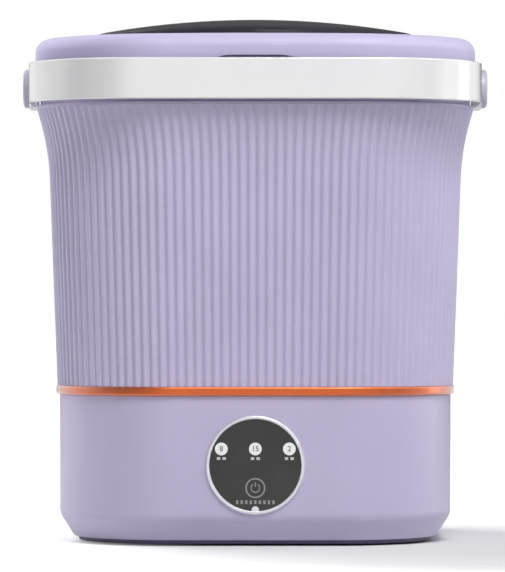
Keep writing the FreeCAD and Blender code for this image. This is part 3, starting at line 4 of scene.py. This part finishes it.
import bmesh
import bpy
from mathutils import Matrix, Vector


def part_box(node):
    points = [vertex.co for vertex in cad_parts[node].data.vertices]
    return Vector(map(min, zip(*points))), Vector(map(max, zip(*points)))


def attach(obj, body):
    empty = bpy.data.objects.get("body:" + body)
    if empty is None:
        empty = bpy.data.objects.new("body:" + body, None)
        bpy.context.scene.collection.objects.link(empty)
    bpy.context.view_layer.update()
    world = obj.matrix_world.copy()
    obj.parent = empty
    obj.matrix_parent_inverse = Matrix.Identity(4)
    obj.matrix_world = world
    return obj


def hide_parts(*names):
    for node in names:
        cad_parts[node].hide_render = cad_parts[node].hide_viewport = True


# Looks of the washing machine: finishes for its solids, rounder reeds, panel markings, studio and camera

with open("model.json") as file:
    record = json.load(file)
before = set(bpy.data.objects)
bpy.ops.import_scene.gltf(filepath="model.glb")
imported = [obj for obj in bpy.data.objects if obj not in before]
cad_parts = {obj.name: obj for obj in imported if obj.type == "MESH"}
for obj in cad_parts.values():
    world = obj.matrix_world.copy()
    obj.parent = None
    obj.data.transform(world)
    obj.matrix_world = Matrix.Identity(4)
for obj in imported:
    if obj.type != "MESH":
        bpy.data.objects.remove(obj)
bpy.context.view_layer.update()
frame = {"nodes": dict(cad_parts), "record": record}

MM = 0.001

# Camera: the photograph's height and the fall of its horizon in pixels, and the eye that took it
PHOTO_HEIGHT = 572
HORIZON_DROP = 13
METRES_PER_PIXEL = 0.739 * MM
EYE_DISTANCE = 3.2
EYE_HEIGHT = 0.175
EYE_SIDE = -2.0 * MM
SENSOR_WIDTH = 36.0
FAR_CLIP = 100.0

# Casing: the solid's own sizes, with deeper and rounder reeds in finer steps
REED_COUNT = 160
REED_STEPS = 12
REED_DEPTH = 1.4 * MM
REED_SHARPNESS = 1.3
CASING_FOOT_HALF = 143.5 * MM
CASING_SHOULDER_HALF = 148.9 * MM
CASING_TOP_HALF = 158.0 * MM
CASING_CORNER = 85.0 * MM
CASING_WALL = 3.2 * MM
FLARE_HEIGHT = 50.0 * MM
FLARE_ROWS = 16

# Keys of the control panel, measured from the middle of its lens: each has its place in spreads and a figure
KEYS = {"left": (-1, "8"), "middle": (0, "15"), "right": (1, "2")}
KEY_SPREAD = 24.0 * MM
KEY_ROW = 11.4 * MM
DOT_RADIUS = 4.5 * MM
FIGURE_HEIGHT = 5.2 * MM
FIGURE_DEPTH = 0.12 * MM
TAG_DROP = 6.8 * MM
TAG_SPREAD = 2.0 * MM
TAG_WIDTH = 2.4 * MM
TAG_HEIGHT = 1.9 * MM

# Power key and the row of bars under it, with the symbol's opening in degrees
POWER_DROP = 16.2 * MM
POWER_RADIUS = 6.6 * MM
POWER_STROKE = 1.0 * MM
SYMBOL_RADIUS = 3.0 * MM
SYMBOL_STROKE = 0.8 * MM
SYMBOL_OPENING = 70
SYMBOL_STEPS = 36
SYMBOL_BAR_RISE = 2.4 * MM
LEVEL_DROP = 26.2 * MM
LEVEL_BARS = 9
LEVEL_PITCH = 3.2 * MM
LEVEL_WIDTH = 1.7 * MM
LEVEL_HEIGHT = 2.6 * MM

# Printed marks: how far they stand on the lens, and the steps of a full circle
MARK_PROUD = 0.12 * MM
CIRCLE_STEPS = 48

# Studio: strength of the even light, and greys of the walls by share of a turn, from the left past the front
AMBIENT = 0.18
STUDIO_WALLS = {
    0.0: 0.8, 0.02: 0.6, 0.05: 0.15, 0.08: 0.05, 0.17: 0.1, 0.2: 0.6, 0.23: 1.0, 0.28: 1.0, 0.32: 0.75,
    0.38: 0.3, 0.42: 0.1, 0.445: 0.2, 0.48: 1.0, 0.55: 1.0, 0.64: 0.9, 0.7: 0.15, 0.76: 0.15, 0.8: 0.7,
    0.84: 1.0, 0.9: 0.9, 1.0: 0.8}

# Floor: its half width, its drop below the feet, and the shaded middle round which it is lifted to white
FLOOR_HALF = 30.0
FLOOR_DROP = 0.1 * MM
FLOOR_CELLS = 8
FLOOR_SHADE_MIDDLE = (0.2, -0.13, 0.0)
FLOOR_LIFT_START = 0.22
FLOOR_LIFT_END = 0.52

# Lamps: place and size in metres, power in watts, and whether shiny pieces mirror them
LAMP_TARGET = (0.0, 0.0, 0.2)
LAMPS = {
    "key": {"place": (0.55, -1.5, 2.15), "size": (1.0, 1.0), "power": 44, "mirrored": True},
    "right_side": {"place": (1.7, -0.9, 1.3), "size": (0.8, 0.8), "power": 8, "mirrored": True},
    "left_rim": {"place": (-1.75, 0.75, 0.6), "size": (0.6, 1.4), "power": 18, "mirrored": False},
    "right_rim": {"place": (1.9, 0.6, 0.6), "size": (0.6, 1.4), "power": 5, "mirrored": True},
    "back_left": {"place": (-1.3, 1.2, 1.8), "size": (0.9, 0.9), "power": 24, "mirrored": False}}

# Shading of the meshes
WELD_DISTANCE = 0.005 * MM
SOLID_SHARP_ANGLE = math.radians(32)
CASING_SHARP_ANGLE = math.radians(50)

# Materials: most values of a noise lie between the first two, and textures are counted in cells per metre
NOISE_LOW = 0.3
NOISE_HIGH = 0.7
CLOUD_SCALE = 14
GLOSS_SCALE = 60
FINE_BUMP = 0.01 * MM


# Colour and node helpers

def linear(red, green, blue):
    """A colour written in 0 to 255 screen values, as the shaders want it, by the sRGB curve."""
    def channel(value):
        share = value / 255
        return share / 12.92 if share <= 0.04045 else ((share + 0.055) / 1.055) ** 2.4
    return (channel(red), channel(green), channel(blue), 1.0)


def new_material(name):
    """An empty material with its Principled shader joined to the output."""
    material = bpy.data.materials.new(name)
    material.use_nodes = True
    tree = material.node_tree
    tree.nodes.clear()
    shader = tree.nodes.new("ShaderNodeBsdfPrincipled")
    output = tree.nodes.new("ShaderNodeOutputMaterial")
    tree.links.new(shader.outputs["BSDF"], output.inputs["Surface"])
    return material, tree, shader


def set_inputs(node, **values):
    """Sets a node's inputs by their names, written with _ for a space."""
    for name, value in values.items():
        node.inputs[name.replace("_", " ")].default_value = value


def object_place(tree, stretch=(1, 1, 1)):
    """The surface's own place in metres, stretched along the axes."""
    place = tree.nodes.new("ShaderNodeTexCoord")
    mapping = tree.nodes.new("ShaderNodeMapping")
    set_inputs(mapping, Scale=stretch)
    tree.links.new(place.outputs["Object"], mapping.inputs["Vector"])
    return mapping.outputs["Vector"]


def noise(tree, per_metre, detail=2, stretch=(1, 1, 1)):
    """A soft random pattern over the surface."""
    texture = tree.nodes.new("ShaderNodeTexNoise")
    set_inputs(texture, Scale=per_metre, Detail=detail)
    tree.links.new(object_place(tree, stretch), texture.inputs["Vector"])
    return texture.outputs["Fac"]


def paint(tree, shader, factor, low, high):
    """Colours the surface from one screen colour to another as a noise rises."""
    node = tree.nodes.new("ShaderNodeValToRGB")
    first, last = node.color_ramp.elements
    first.position, first.color = NOISE_LOW, linear(*low)
    last.position, last.color = NOISE_HIGH, linear(*high)
    tree.links.new(factor, node.inputs["Fac"])
    tree.links.new(node.outputs["Color"], shader.inputs["Base Color"])


def polish(tree, shader, factor, low, high):
    """Makes the surface rougher, from low to high, as a noise rises."""
    node = tree.nodes.new("ShaderNodeMapRange")
    set_inputs(node, From_Min=NOISE_LOW, From_Max=NOISE_HIGH, To_Min=low, To_Max=high)
    tree.links.new(factor, node.inputs["Value"])
    tree.links.new(node.outputs["Result"], shader.inputs["Roughness"])


def bump(tree, shader, height, depth):
    """Raises the surface by up to a depth where the height is 1."""
    node = tree.nodes.new("ShaderNodeBump")
    set_inputs(node, Strength=1.0, Distance=depth)
    tree.links.new(height, node.inputs["Height"])
    tree.links.new(node.outputs["Normal"], shader.inputs["Normal"])


def combined(tree, operation, first, second):
    """Two numbers joined by a sum or a product, kept between 0 and 1."""
    node = tree.nodes.new("ShaderNodeMath")
    node.operation = operation
    node.use_clamp = True
    tree.links.new(first, node.inputs[0])
    tree.links.new(second, node.inputs[1])
    return node.outputs[0]


# Materials, one function for each finish

def moulded(name, colour, shade, roughness, grain=1500, depth=0.02 * MM, **finish):
    """Moulded plastic: a cloudy mix of two near colours, a fine grain and uneven gloss."""
    material, tree, shader = new_material(name)
    paint(tree, shader, noise(tree, CLOUD_SCALE, detail=3), shade, colour)
    polish(tree, shader, noise(tree, GLOSS_SCALE, detail=4), *roughness)
    bump(tree, shader, noise(tree, grain, detail=1), depth)
    set_inputs(shader, **finish)
    return material


def lavender_plastic():
    return moulded("lavender_plastic", (192, 183, 213), (187, 178, 208), roughness=(0.34, 0.42),
                   Coat_Weight=0.12, Coat_Roughness=0.2)


def lid_painted_light_plastic():
    """The lid's lavender, more matt than the casing's and painted paler than it: painted light standing in
    for the stronger light on the lid.
    """
    return moulded("lid_painted_light_plastic", (202, 193, 226), (197, 188, 222), roughness=(0.46, 0.54))


def cap_plastic():
    """The pivot caps' lavender, greyer than the casing's."""
    return moulded("cap_plastic", (186, 181, 200), (179, 174, 194), roughness=(0.3, 0.4))


def cover_plastic():
    """The bottom cover's dark lavender."""
    return moulded("cover_plastic", (98, 88, 120), (91, 82, 113), roughness=(0.45, 0.6))


def white_plastic():
    """The handle's white, under a clear glossy coat."""
    return moulded("white_plastic", (234, 234, 235), (230, 230, 232), roughness=(0.16, 0.24), grain=400,
                   depth=FINE_BUMP, Coat_Weight=1.0, Coat_IOR=1.9, Coat_Roughness=0.08)


def tub_plastic():
    return moulded("tub_plastic", (232, 232, 236), (224, 225, 231), roughness=(0.3, 0.45),
                   Subsurface_Weight=0.1, Subsurface_Scale=2 * MM)


def pulsator_plastic():
    return moulded("pulsator_plastic", (203, 196, 222), (196, 188, 216), roughness=(0.28, 0.4))


def dark_plastic():
    return moulded("dark_plastic", (44, 40, 50), (36, 32, 42), roughness=(0.45, 0.6))


def grey_plastic():
    return moulded("grey_plastic", (150, 150, 156), (138, 138, 146), roughness=(0.4, 0.55))


def rubber():
    return moulded("rubber", (38, 37, 40), (30, 29, 32), roughness=(0.7, 0.9), grain=900, depth=0.06 * MM)


def print_ink(name, colour, shade):
    """Screen print: nearly even ink with a slightly rough surface."""
    return moulded(name, colour, shade, roughness=(0.35, 0.5), grain=3000, depth=0.005 * MM)


def copper_trim():
    """Satin copper band with fine lines that run round it, paler where it turns away."""
    material, tree, shader = new_material("copper_trim")
    paint(tree, shader, noise(tree, per_metre=20), (216, 98, 34), (223, 105, 40))
    lines = noise(tree, per_metre=90, detail=3, stretch=(1, 1, 60))
    polish(tree, shader, lines, 0.34, 0.44)
    bump(tree, shader, lines, FINE_BUMP)
    set_inputs(shader, Metallic=1.0, Coat_Weight=0.7, Coat_Roughness=0.15)
    set_inputs(shader, Sheen_Weight=1.0, Sheen_Roughness=0.48)
    return material


def bezel_silver():
    """Bright silver paint on plastic."""
    material, tree, shader = new_material("bezel_silver")
    paint(tree, shader, noise(tree, per_metre=30), (226, 225, 232), (240, 239, 245))
    polish(tree, shader, noise(tree, GLOSS_SCALE), 0.26, 0.32)
    set_inputs(shader, Metallic=0.5, Coat_Weight=0.2, Coat_Roughness=0.15)
    return material


def smoked_window():
    """Dark see-through plastic with long faint flow marks."""
    material, tree, shader = new_material("smoked_window")
    flow = noise(tree, per_metre=16, detail=4, stretch=(1, 5, 1))
    paint(tree, shader, flow, (62, 61, 68), (70, 69, 75))
    polish(tree, shader, flow, 0.21, 0.25)
    bump(tree, shader, noise(tree, per_metre=40), 0.05 * MM)
    set_inputs(shader, Transmission_Weight=0.3, Specular_IOR_Level=0.08, IOR=1.2)
    return material


def panel_lens():
    """Dark grey lens with a smooth, faintly uneven gloss."""
    material, tree, shader = new_material("panel_lens")
    paint(tree, shader, noise(tree, per_metre=25), (56, 56, 58), (64, 64, 64))
    polish(tree, shader, noise(tree, per_metre=300, detail=3), 0.16, 0.24)
    bump(tree, shader, noise(tree, GLOSS_SCALE), FINE_BUMP)
    set_inputs(shader, Specular_IOR_Level=0.3)
    return material


def steel():
    """Turned steel, with lines drawn out along the upright axis."""
    material, tree, shader = new_material("steel")
    lines = noise(tree, per_metre=700, detail=3, stretch=(1, 1, 0.1))
    paint(tree, shader, lines, (150, 152, 156), (196, 198, 202))
    polish(tree, shader, lines, 0.25, 0.4)
    bump(tree, shader, lines, FINE_BUMP)
    set_inputs(shader, Metallic=1.0)
    return material


def circuit_board():
    """Green solder mask with a lattice of paler tracks."""
    material, tree, shader = new_material("circuit_board")
    tracks = tree.nodes.new("ShaderNodeTexBrick")
    set_inputs(tracks, Scale=90, Mortar_Size=0.03)
    set_inputs(tracks, Color1=linear(24, 84, 52), Color2=linear(20, 74, 46), Mortar=linear(66, 130, 84))
    tree.links.new(object_place(tree), tracks.inputs["Vector"])
    tree.links.new(tracks.outputs["Color"], shader.inputs["Base Color"])
    polish(tree, shader, noise(tree, per_metre=400), 0.25, 0.4)
    bump(tree, shader, tracks.outputs["Fac"], 0.03 * MM)
    return material


SLOT_MAKERS = [
    lavender_plastic, white_plastic, tub_plastic, pulsator_plastic, copper_trim, smoked_window, panel_lens,
    bezel_silver, dark_plastic, grey_plastic, rubber, steel, circuit_board]
slot_finish = {make.__name__: make() for make in SLOT_MAKERS}
# The lid's finish is a paler copy of the casing's lavender: painted light
own_finish = {"lid_frame": lid_painted_light_plastic(), "pivot_caps": cap_plastic(), "bottom_cover": cover_plastic()}
white_ink = print_ink("white_ink", (246, 247, 243), (238, 239, 236))
pale_ink = print_ink("pale_ink", (204, 204, 200), (194, 194, 192))
grey_ink = print_ink("grey_ink", (150, 150, 150), (140, 140, 140))
dark_ink = print_ink("dark_ink", (70, 70, 72), (60, 60, 62))


# Solids: each keeps its mesh and gets its slot's material, or its own, and smooth shading

def shade_solid(piece):
    """Joins the faces' edges and shades across the gentle ones; the mesh itself stays."""
    piece.data.shade_smooth()
    weld = piece.modifiers.new("weld", "WELD")
    weld.merge_threshold = WELD_DISTANCE
    split = piece.modifiers.new("sharp_edges", "EDGE_SPLIT")
    split.split_angle = SOLID_SHARP_ANGLE
    even = piece.modifiers.new("even_normals", "WEIGHTED_NORMAL")
    even.keep_sharp = True


def dress_solids():
    for part in frame["record"]["subparts"]:
        node = part["node"]
        piece = frame["nodes"][node]
        piece.data.materials.clear()
        piece.data.materials.append(own_finish.get(node, slot_finish[part["material_slot"]]))
        shade_solid(piece)


# Mesh helpers

def new_object(name, mesh, material):
    """Puts a finished mesh into the scene with its material."""
    made = bpy.data.meshes.new(name)
    mesh.to_mesh(made)
    mesh.free()
    made.materials.append(material)
    piece = bpy.data.objects.new(name, made)
    bpy.context.scene.collection.objects.link(piece)
    return piece


def new_piece(name, mesh, material):
    """A mesh as a piece that stands still with the machine, with the material it is given."""
    piece = new_object(name, mesh, material)
    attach(piece, "machine")
    return piece


def skin(mesh, rings):
    """Joins rings of points, each as long as the next, into a closed skin of four-sided faces."""
    rows = [[mesh.verts.new(point) for point in ring] for ring in rings]
    for lower, upper in zip(rows, rows[1:] + rows[:1]):
        count = len(lower)
        for i in range(count):
            after = (i + 1) % count
            mesh.faces.new((lower[i], lower[after], upper[after], upper[i]))


# Casing

def casing_half_at(height, full):
    """Half width at a height above the casing's foot: straight sides, then an outward flare."""
    straight = full - FLARE_HEIGHT
    slope = (CASING_SHOULDER_HALF - CASING_FOOT_HALF) / straight
    beyond = max(0.0, height - straight) / FLARE_HEIGHT
    flare = CASING_TOP_HALF - CASING_FOOT_HALF - slope * full
    return CASING_FOOT_HALF + slope * height + flare * beyond ** 2


def outline_point(half, corner, distance):
    """Point and outward direction on a rounded square, measured along it from the middle of its front."""
    flat = half - corner
    bend = corner * math.pi / 2
    quarter, rest = divmod(distance, 2 * flat + bend)
    if rest < flat:
        point, outward = Vector((rest, -half, 0)), Vector((0, -1, 0))
    elif rest < flat + bend:
        angle = (rest - flat) / corner
        outward = Vector((math.sin(angle), -math.cos(angle), 0))
        point = Vector((flat, -flat, 0)) + outward * corner
    else:
        point, outward = Vector((half, rest - 2 * flat - bend, 0)), Vector((1, 0, 0))
    turn = Matrix.Rotation(math.pi / 2 * quarter, 3, "Z")
    return turn @ point, turn @ outward


def reed_sink(step):
    """How far a step lies behind the reeds' tops: the full depth in a groove, nothing on a reed."""
    across = 2 * (step % REED_STEPS) / REED_STEPS - 1
    wave = (1 - math.cos(math.pi * across)) / 2
    return REED_DEPTH * wave ** REED_SHARPNESS


def casing_ring(half, level, reeded):
    """One level of the casing's wall: bowed reeds outside, or a smooth line inside."""
    corner = CASING_CORNER * half / CASING_FOOT_HALF
    around = 8 * (half - corner) + 2 * math.pi * corner
    steps = REED_COUNT * REED_STEPS
    ring = []
    for i in range(steps):
        point, outward = outline_point(half, corner, around * i / steps)
        sink = reed_sink(i) if reeded else CASING_WALL
        ring.append(point - outward * sink + Vector((0, 0, level)))
    return ring


def make_casing():
    """The wall goes up outside with its reeds and comes down smooth inside."""
    low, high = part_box("outer_casing")
    full = high.z - low.z
    levels = [0.0] + [full - FLARE_HEIGHT * (1 - i / FLARE_ROWS) for i in range(FLARE_ROWS + 1)]
    outside = [casing_ring(casing_half_at(z, full), low.z + z, True) for z in levels]
    inside = [casing_ring(casing_half_at(z, full), low.z + z, False) for z in reversed(levels)]
    mesh = bmesh.new()
    skin(mesh, outside + inside)
    piece = new_piece("reeded_casing", mesh, slot_finish["lavender_plastic"])
    piece.data.shade_smooth()
    piece.data.set_sharp_from_angle(angle=CASING_SHARP_ANGLE)
    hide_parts("outer_casing")


# Control panel markings

def lens_middle():
    low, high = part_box("panel_lens")
    return Vector(((low.x + high.x) / 2, low.y, (low.z + high.z) / 2))


def at(middle, across, up, proud=0.0):
    """A place to the right of a middle, above it and out from the lens."""
    return middle + Vector((across, -proud, up))


def raised(mesh, outline):
    """A flat shape just in front of the lens, with its edge drawn back to the lens."""
    front = [mesh.verts.new(at(point, 0, 0, MARK_PROUD)) for point in outline]
    back = [mesh.verts.new(point) for point in outline]
    mesh.faces.new(front)
    count = len(outline)
    for i in range(count):
        after = (i + 1) % count
        mesh.faces.new((front[i], back[i], back[after], front[after]))


def arc_points(middle, radius, start, end, steps):
    """Points on an arc in the lens's plane, in degrees anticlockwise from the right."""
    points = []
    for i in range(steps + 1):
        angle = math.radians(start + (end - start) * i / steps)
        points.append(at(middle, radius * math.cos(angle), radius * math.sin(angle)))
    return points


def disc(mesh, middle, radius):
    raised(mesh, arc_points(middle, radius, 0, 360, CIRCLE_STEPS)[:-1])


def stroke(mesh, middle, radius, width, start=0, end=360, steps=CIRCLE_STEPS):
    """A curved line of even width, as a row of four-sided plates."""
    outer = arc_points(middle, radius + width / 2, start, end, steps)
    inner = arc_points(middle, radius - width / 2, start, end, steps)
    for i in range(steps):
        raised(mesh, [outer[i], outer[i + 1], inner[i + 1], inner[i]])


def bar(mesh, middle, width, height):
    right, top = width / 2, height / 2
    corners = [(-right, -top), (right, -top), (right, top), (-right, top)]
    raised(mesh, [at(middle, across, up) for across, up in corners])


def make_figure(name, text, place):
    """A plain figure whose back stands on a key's white dot."""
    curve = bpy.data.curves.new(name, "FONT")
    curve.body = text
    curve.size = FIGURE_HEIGHT
    curve.align_x = "CENTER"
    curve.align_y = "CENTER"
    curve.extrude = FIGURE_DEPTH / 2
    writer = bpy.data.objects.new(name, curve)
    bpy.context.scene.collection.objects.link(writer)
    writer.matrix_world = Matrix.Translation(place) @ Matrix.Rotation(math.pi / 2, 4, "X")
    bpy.context.view_layer.update()
    graph = bpy.context.evaluated_depsgraph_get()
    mesh = bmesh.new()
    mesh.from_mesh(bpy.data.meshes.new_from_object(writer.evaluated_get(graph)))
    mesh.transform(writer.matrix_world)
    bpy.data.objects.remove(writer)
    new_piece(name, mesh, dark_ink)


def make_keys(middle):
    """Three white dots, each with a figure on it and two pale tags under it."""
    dots = bmesh.new()
    tags = bmesh.new()
    for name, (spreads, text) in KEYS.items():
        across = spreads * KEY_SPREAD
        disc(dots, at(middle, across, KEY_ROW), DOT_RADIUS)
        make_figure("figure_" + name, text, at(middle, across, KEY_ROW, MARK_PROUD + FIGURE_DEPTH / 2))
        for side in (-1, 1):
            tag = at(middle, across + side * TAG_SPREAD, KEY_ROW - TAG_DROP)
            bar(tags, tag, TAG_WIDTH, TAG_HEIGHT)
    new_piece("key_dots", dots, white_ink)
    new_piece("key_tags", tags, pale_ink)


def make_panel_marks(middle):
    """A ringed power sign above a row of bars."""
    marks = bmesh.new()
    power = at(middle, 0, -POWER_DROP)
    stroke(marks, power, POWER_RADIUS, POWER_STROKE)
    # The symbol starts and ends beside its top, which is 90 degrees from the right
    start = 90 + SYMBOL_OPENING / 2
    end = 90 + 360 - SYMBOL_OPENING / 2
    stroke(marks, power, SYMBOL_RADIUS, SYMBOL_STROKE, start, end, SYMBOL_STEPS)
    bar(marks, at(power, 0, SYMBOL_BAR_RISE), SYMBOL_STROKE, SYMBOL_RADIUS)
    for i in range(LEVEL_BARS):
        across = (i - (LEVEL_BARS - 1) / 2) * LEVEL_PITCH
        bar(marks, at(middle, across, -LEVEL_DROP), LEVEL_WIDTH, LEVEL_HEIGHT)
    new_piece("panel_marks", marks, grey_ink)


# Stage, light and camera

def background(tree, strength):
    node = tree.nodes.new("ShaderNodeBackground")
    set_inputs(node, Color=(1, 1, 1, 1), Strength=strength)
    return node


def mixed(tree, factor, first, second):
    """The first shader where the factor is 0, the second where it is 1."""
    node = tree.nodes.new("ShaderNodeMixShader")
    tree.links.new(factor, node.inputs["Fac"])
    tree.links.new(first.outputs[0], node.inputs[1])
    tree.links.new(second.outputs[0], node.inputs[2])
    return node


def studio_walls(tree):
    """What shiny pieces mirror: pale walls with dark gaps at the front left, the front right and behind."""
    way = tree.nodes.new("ShaderNodeTexCoord")
    turn = tree.nodes.new("ShaderNodeTexGradient")
    turn.gradient_type = "RADIAL"
    tree.links.new(way.outputs["Generated"], turn.inputs["Vector"])
    walls = tree.nodes.new("ShaderNodeValToRGB")
    stops = walls.color_ramp.elements
    for position in list(STUDIO_WALLS)[1:-1]:
        stops.new(position)
    for stop, grey in zip(stops, STUDIO_WALLS.values()):
        stop.color = (grey, grey, grey, 1)
    tree.links.new(turn.outputs["Fac"], walls.inputs["Fac"])
    node = background(tree, 1.0)
    tree.links.new(walls.outputs["Color"], node.inputs["Color"])
    return node


def make_world():
    """White for the eye, a studio for reflections and a weak even light for the rest."""
    world = bpy.data.worlds.new("studio")
    bpy.context.scene.world = world
    world.use_nodes = True
    tree = world.node_tree
    tree.nodes.clear()
    path = tree.nodes.new("ShaderNodeLightPath")
    lit = mixed(tree, path.outputs["Is Glossy Ray"], background(tree, AMBIENT), studio_walls(tree))
    seen = combined(tree, "ADD", path.outputs["Is Camera Ray"], path.outputs["Is Transmission Ray"])
    whole = mixed(tree, seen, lit, background(tree, 1.0))
    output = tree.nodes.new("ShaderNodeOutputWorld")
    tree.links.new(whole.outputs[0], output.inputs["Surface"])


def floor_lift(tree):
    """0 in the floor's shaded middle, rising to 1 further off."""
    place = tree.nodes.new("ShaderNodeTexCoord")
    distance = tree.nodes.new("ShaderNodeVectorMath")
    distance.operation = "DISTANCE"
    distance.inputs[1].default_value = FLOOR_SHADE_MIDDLE
    tree.links.new(place.outputs["Object"], distance.inputs[0])
    lift = tree.nodes.new("ShaderNodeMapRange")
    lift.interpolation_type = "SMOOTHSTEP"
    set_inputs(lift, From_Min=FLOOR_LIFT_START, From_Max=FLOOR_LIFT_END, To_Min=0.0, To_Max=1.0)
    tree.links.new(distance.outputs["Value"], lift.inputs["Value"])
    return lift.outputs["Result"]


def floor_material():
    """Pale and dull; for the eye alone it is lifted to white round its shaded middle."""
    material, tree, shader = new_material("floor")
    paint(tree, shader, noise(tree, per_metre=3), (226, 226, 227), (229, 229, 229))
    set_inputs(shader, Roughness=0.9, Specular_IOR_Level=0.0, Emission_Color=(1, 1, 1, 1))
    path = tree.nodes.new("ShaderNodeLightPath")
    seen = combined(tree, "MULTIPLY", floor_lift(tree), path.outputs["Is Camera Ray"])
    tree.links.new(seen, shader.inputs["Emission Strength"])
    return material


def make_floor():
    mesh = bmesh.new()
    bmesh.ops.create_grid(mesh, x_segments=FLOOR_CELLS, y_segments=FLOOR_CELLS, size=FLOOR_HALF)
    floor = new_object("floor", mesh, floor_material())
    floor.location.z = -FLOOR_DROP


def make_lamp(name, place, size, power, mirrored):
    """A rectangular lamp that faces the machine."""
    lamp = bpy.data.lights.new(name, "AREA")
    lamp.shape = "RECTANGLE"
    lamp.size, lamp.size_y = size
    lamp.energy = power
    holder = bpy.data.objects.new(name, lamp)
    holder.visible_glossy = mirrored
    holder.location = place
    holder.rotation_euler = (Vector(LAMP_TARGET) - Vector(place)).to_track_quat("-Z", "Y").to_euler()
    bpy.context.scene.collection.objects.link(holder)


def make_lamps():
    for name, values in LAMPS.items():
        make_lamp(name, **values)


def make_camera():
    """The photograph's eye, tilted up a little, so that its horizon lies below the picture's middle."""
    data = bpy.data.cameras.new("photo_eye")
    data.sensor_width = SENSOR_WIDTH
    pixels_away = EYE_DISTANCE / METRES_PER_PIXEL
    data.lens = pixels_away * SENSOR_WIDTH / PHOTO_HEIGHT
    data.clip_end = FAR_CLIP
    eye = bpy.data.objects.new("photo_eye", data)
    eye.location = (EYE_SIDE, -EYE_DISTANCE, EYE_HEIGHT)
    eye.rotation_euler = (math.pi / 2 + math.atan(HORIZON_DROP / pixels_away), 0, 0)
    bpy.context.scene.collection.objects.link(eye)
    bpy.context.scene.camera = eye


dress_solids()
make_casing()
make_keys(lens_middle())
make_panel_marks(lens_middle())
make_world()
make_floor()
make_lamps()
make_camera()
bpy.context.scene.view_settings.view_transform = "Standard"
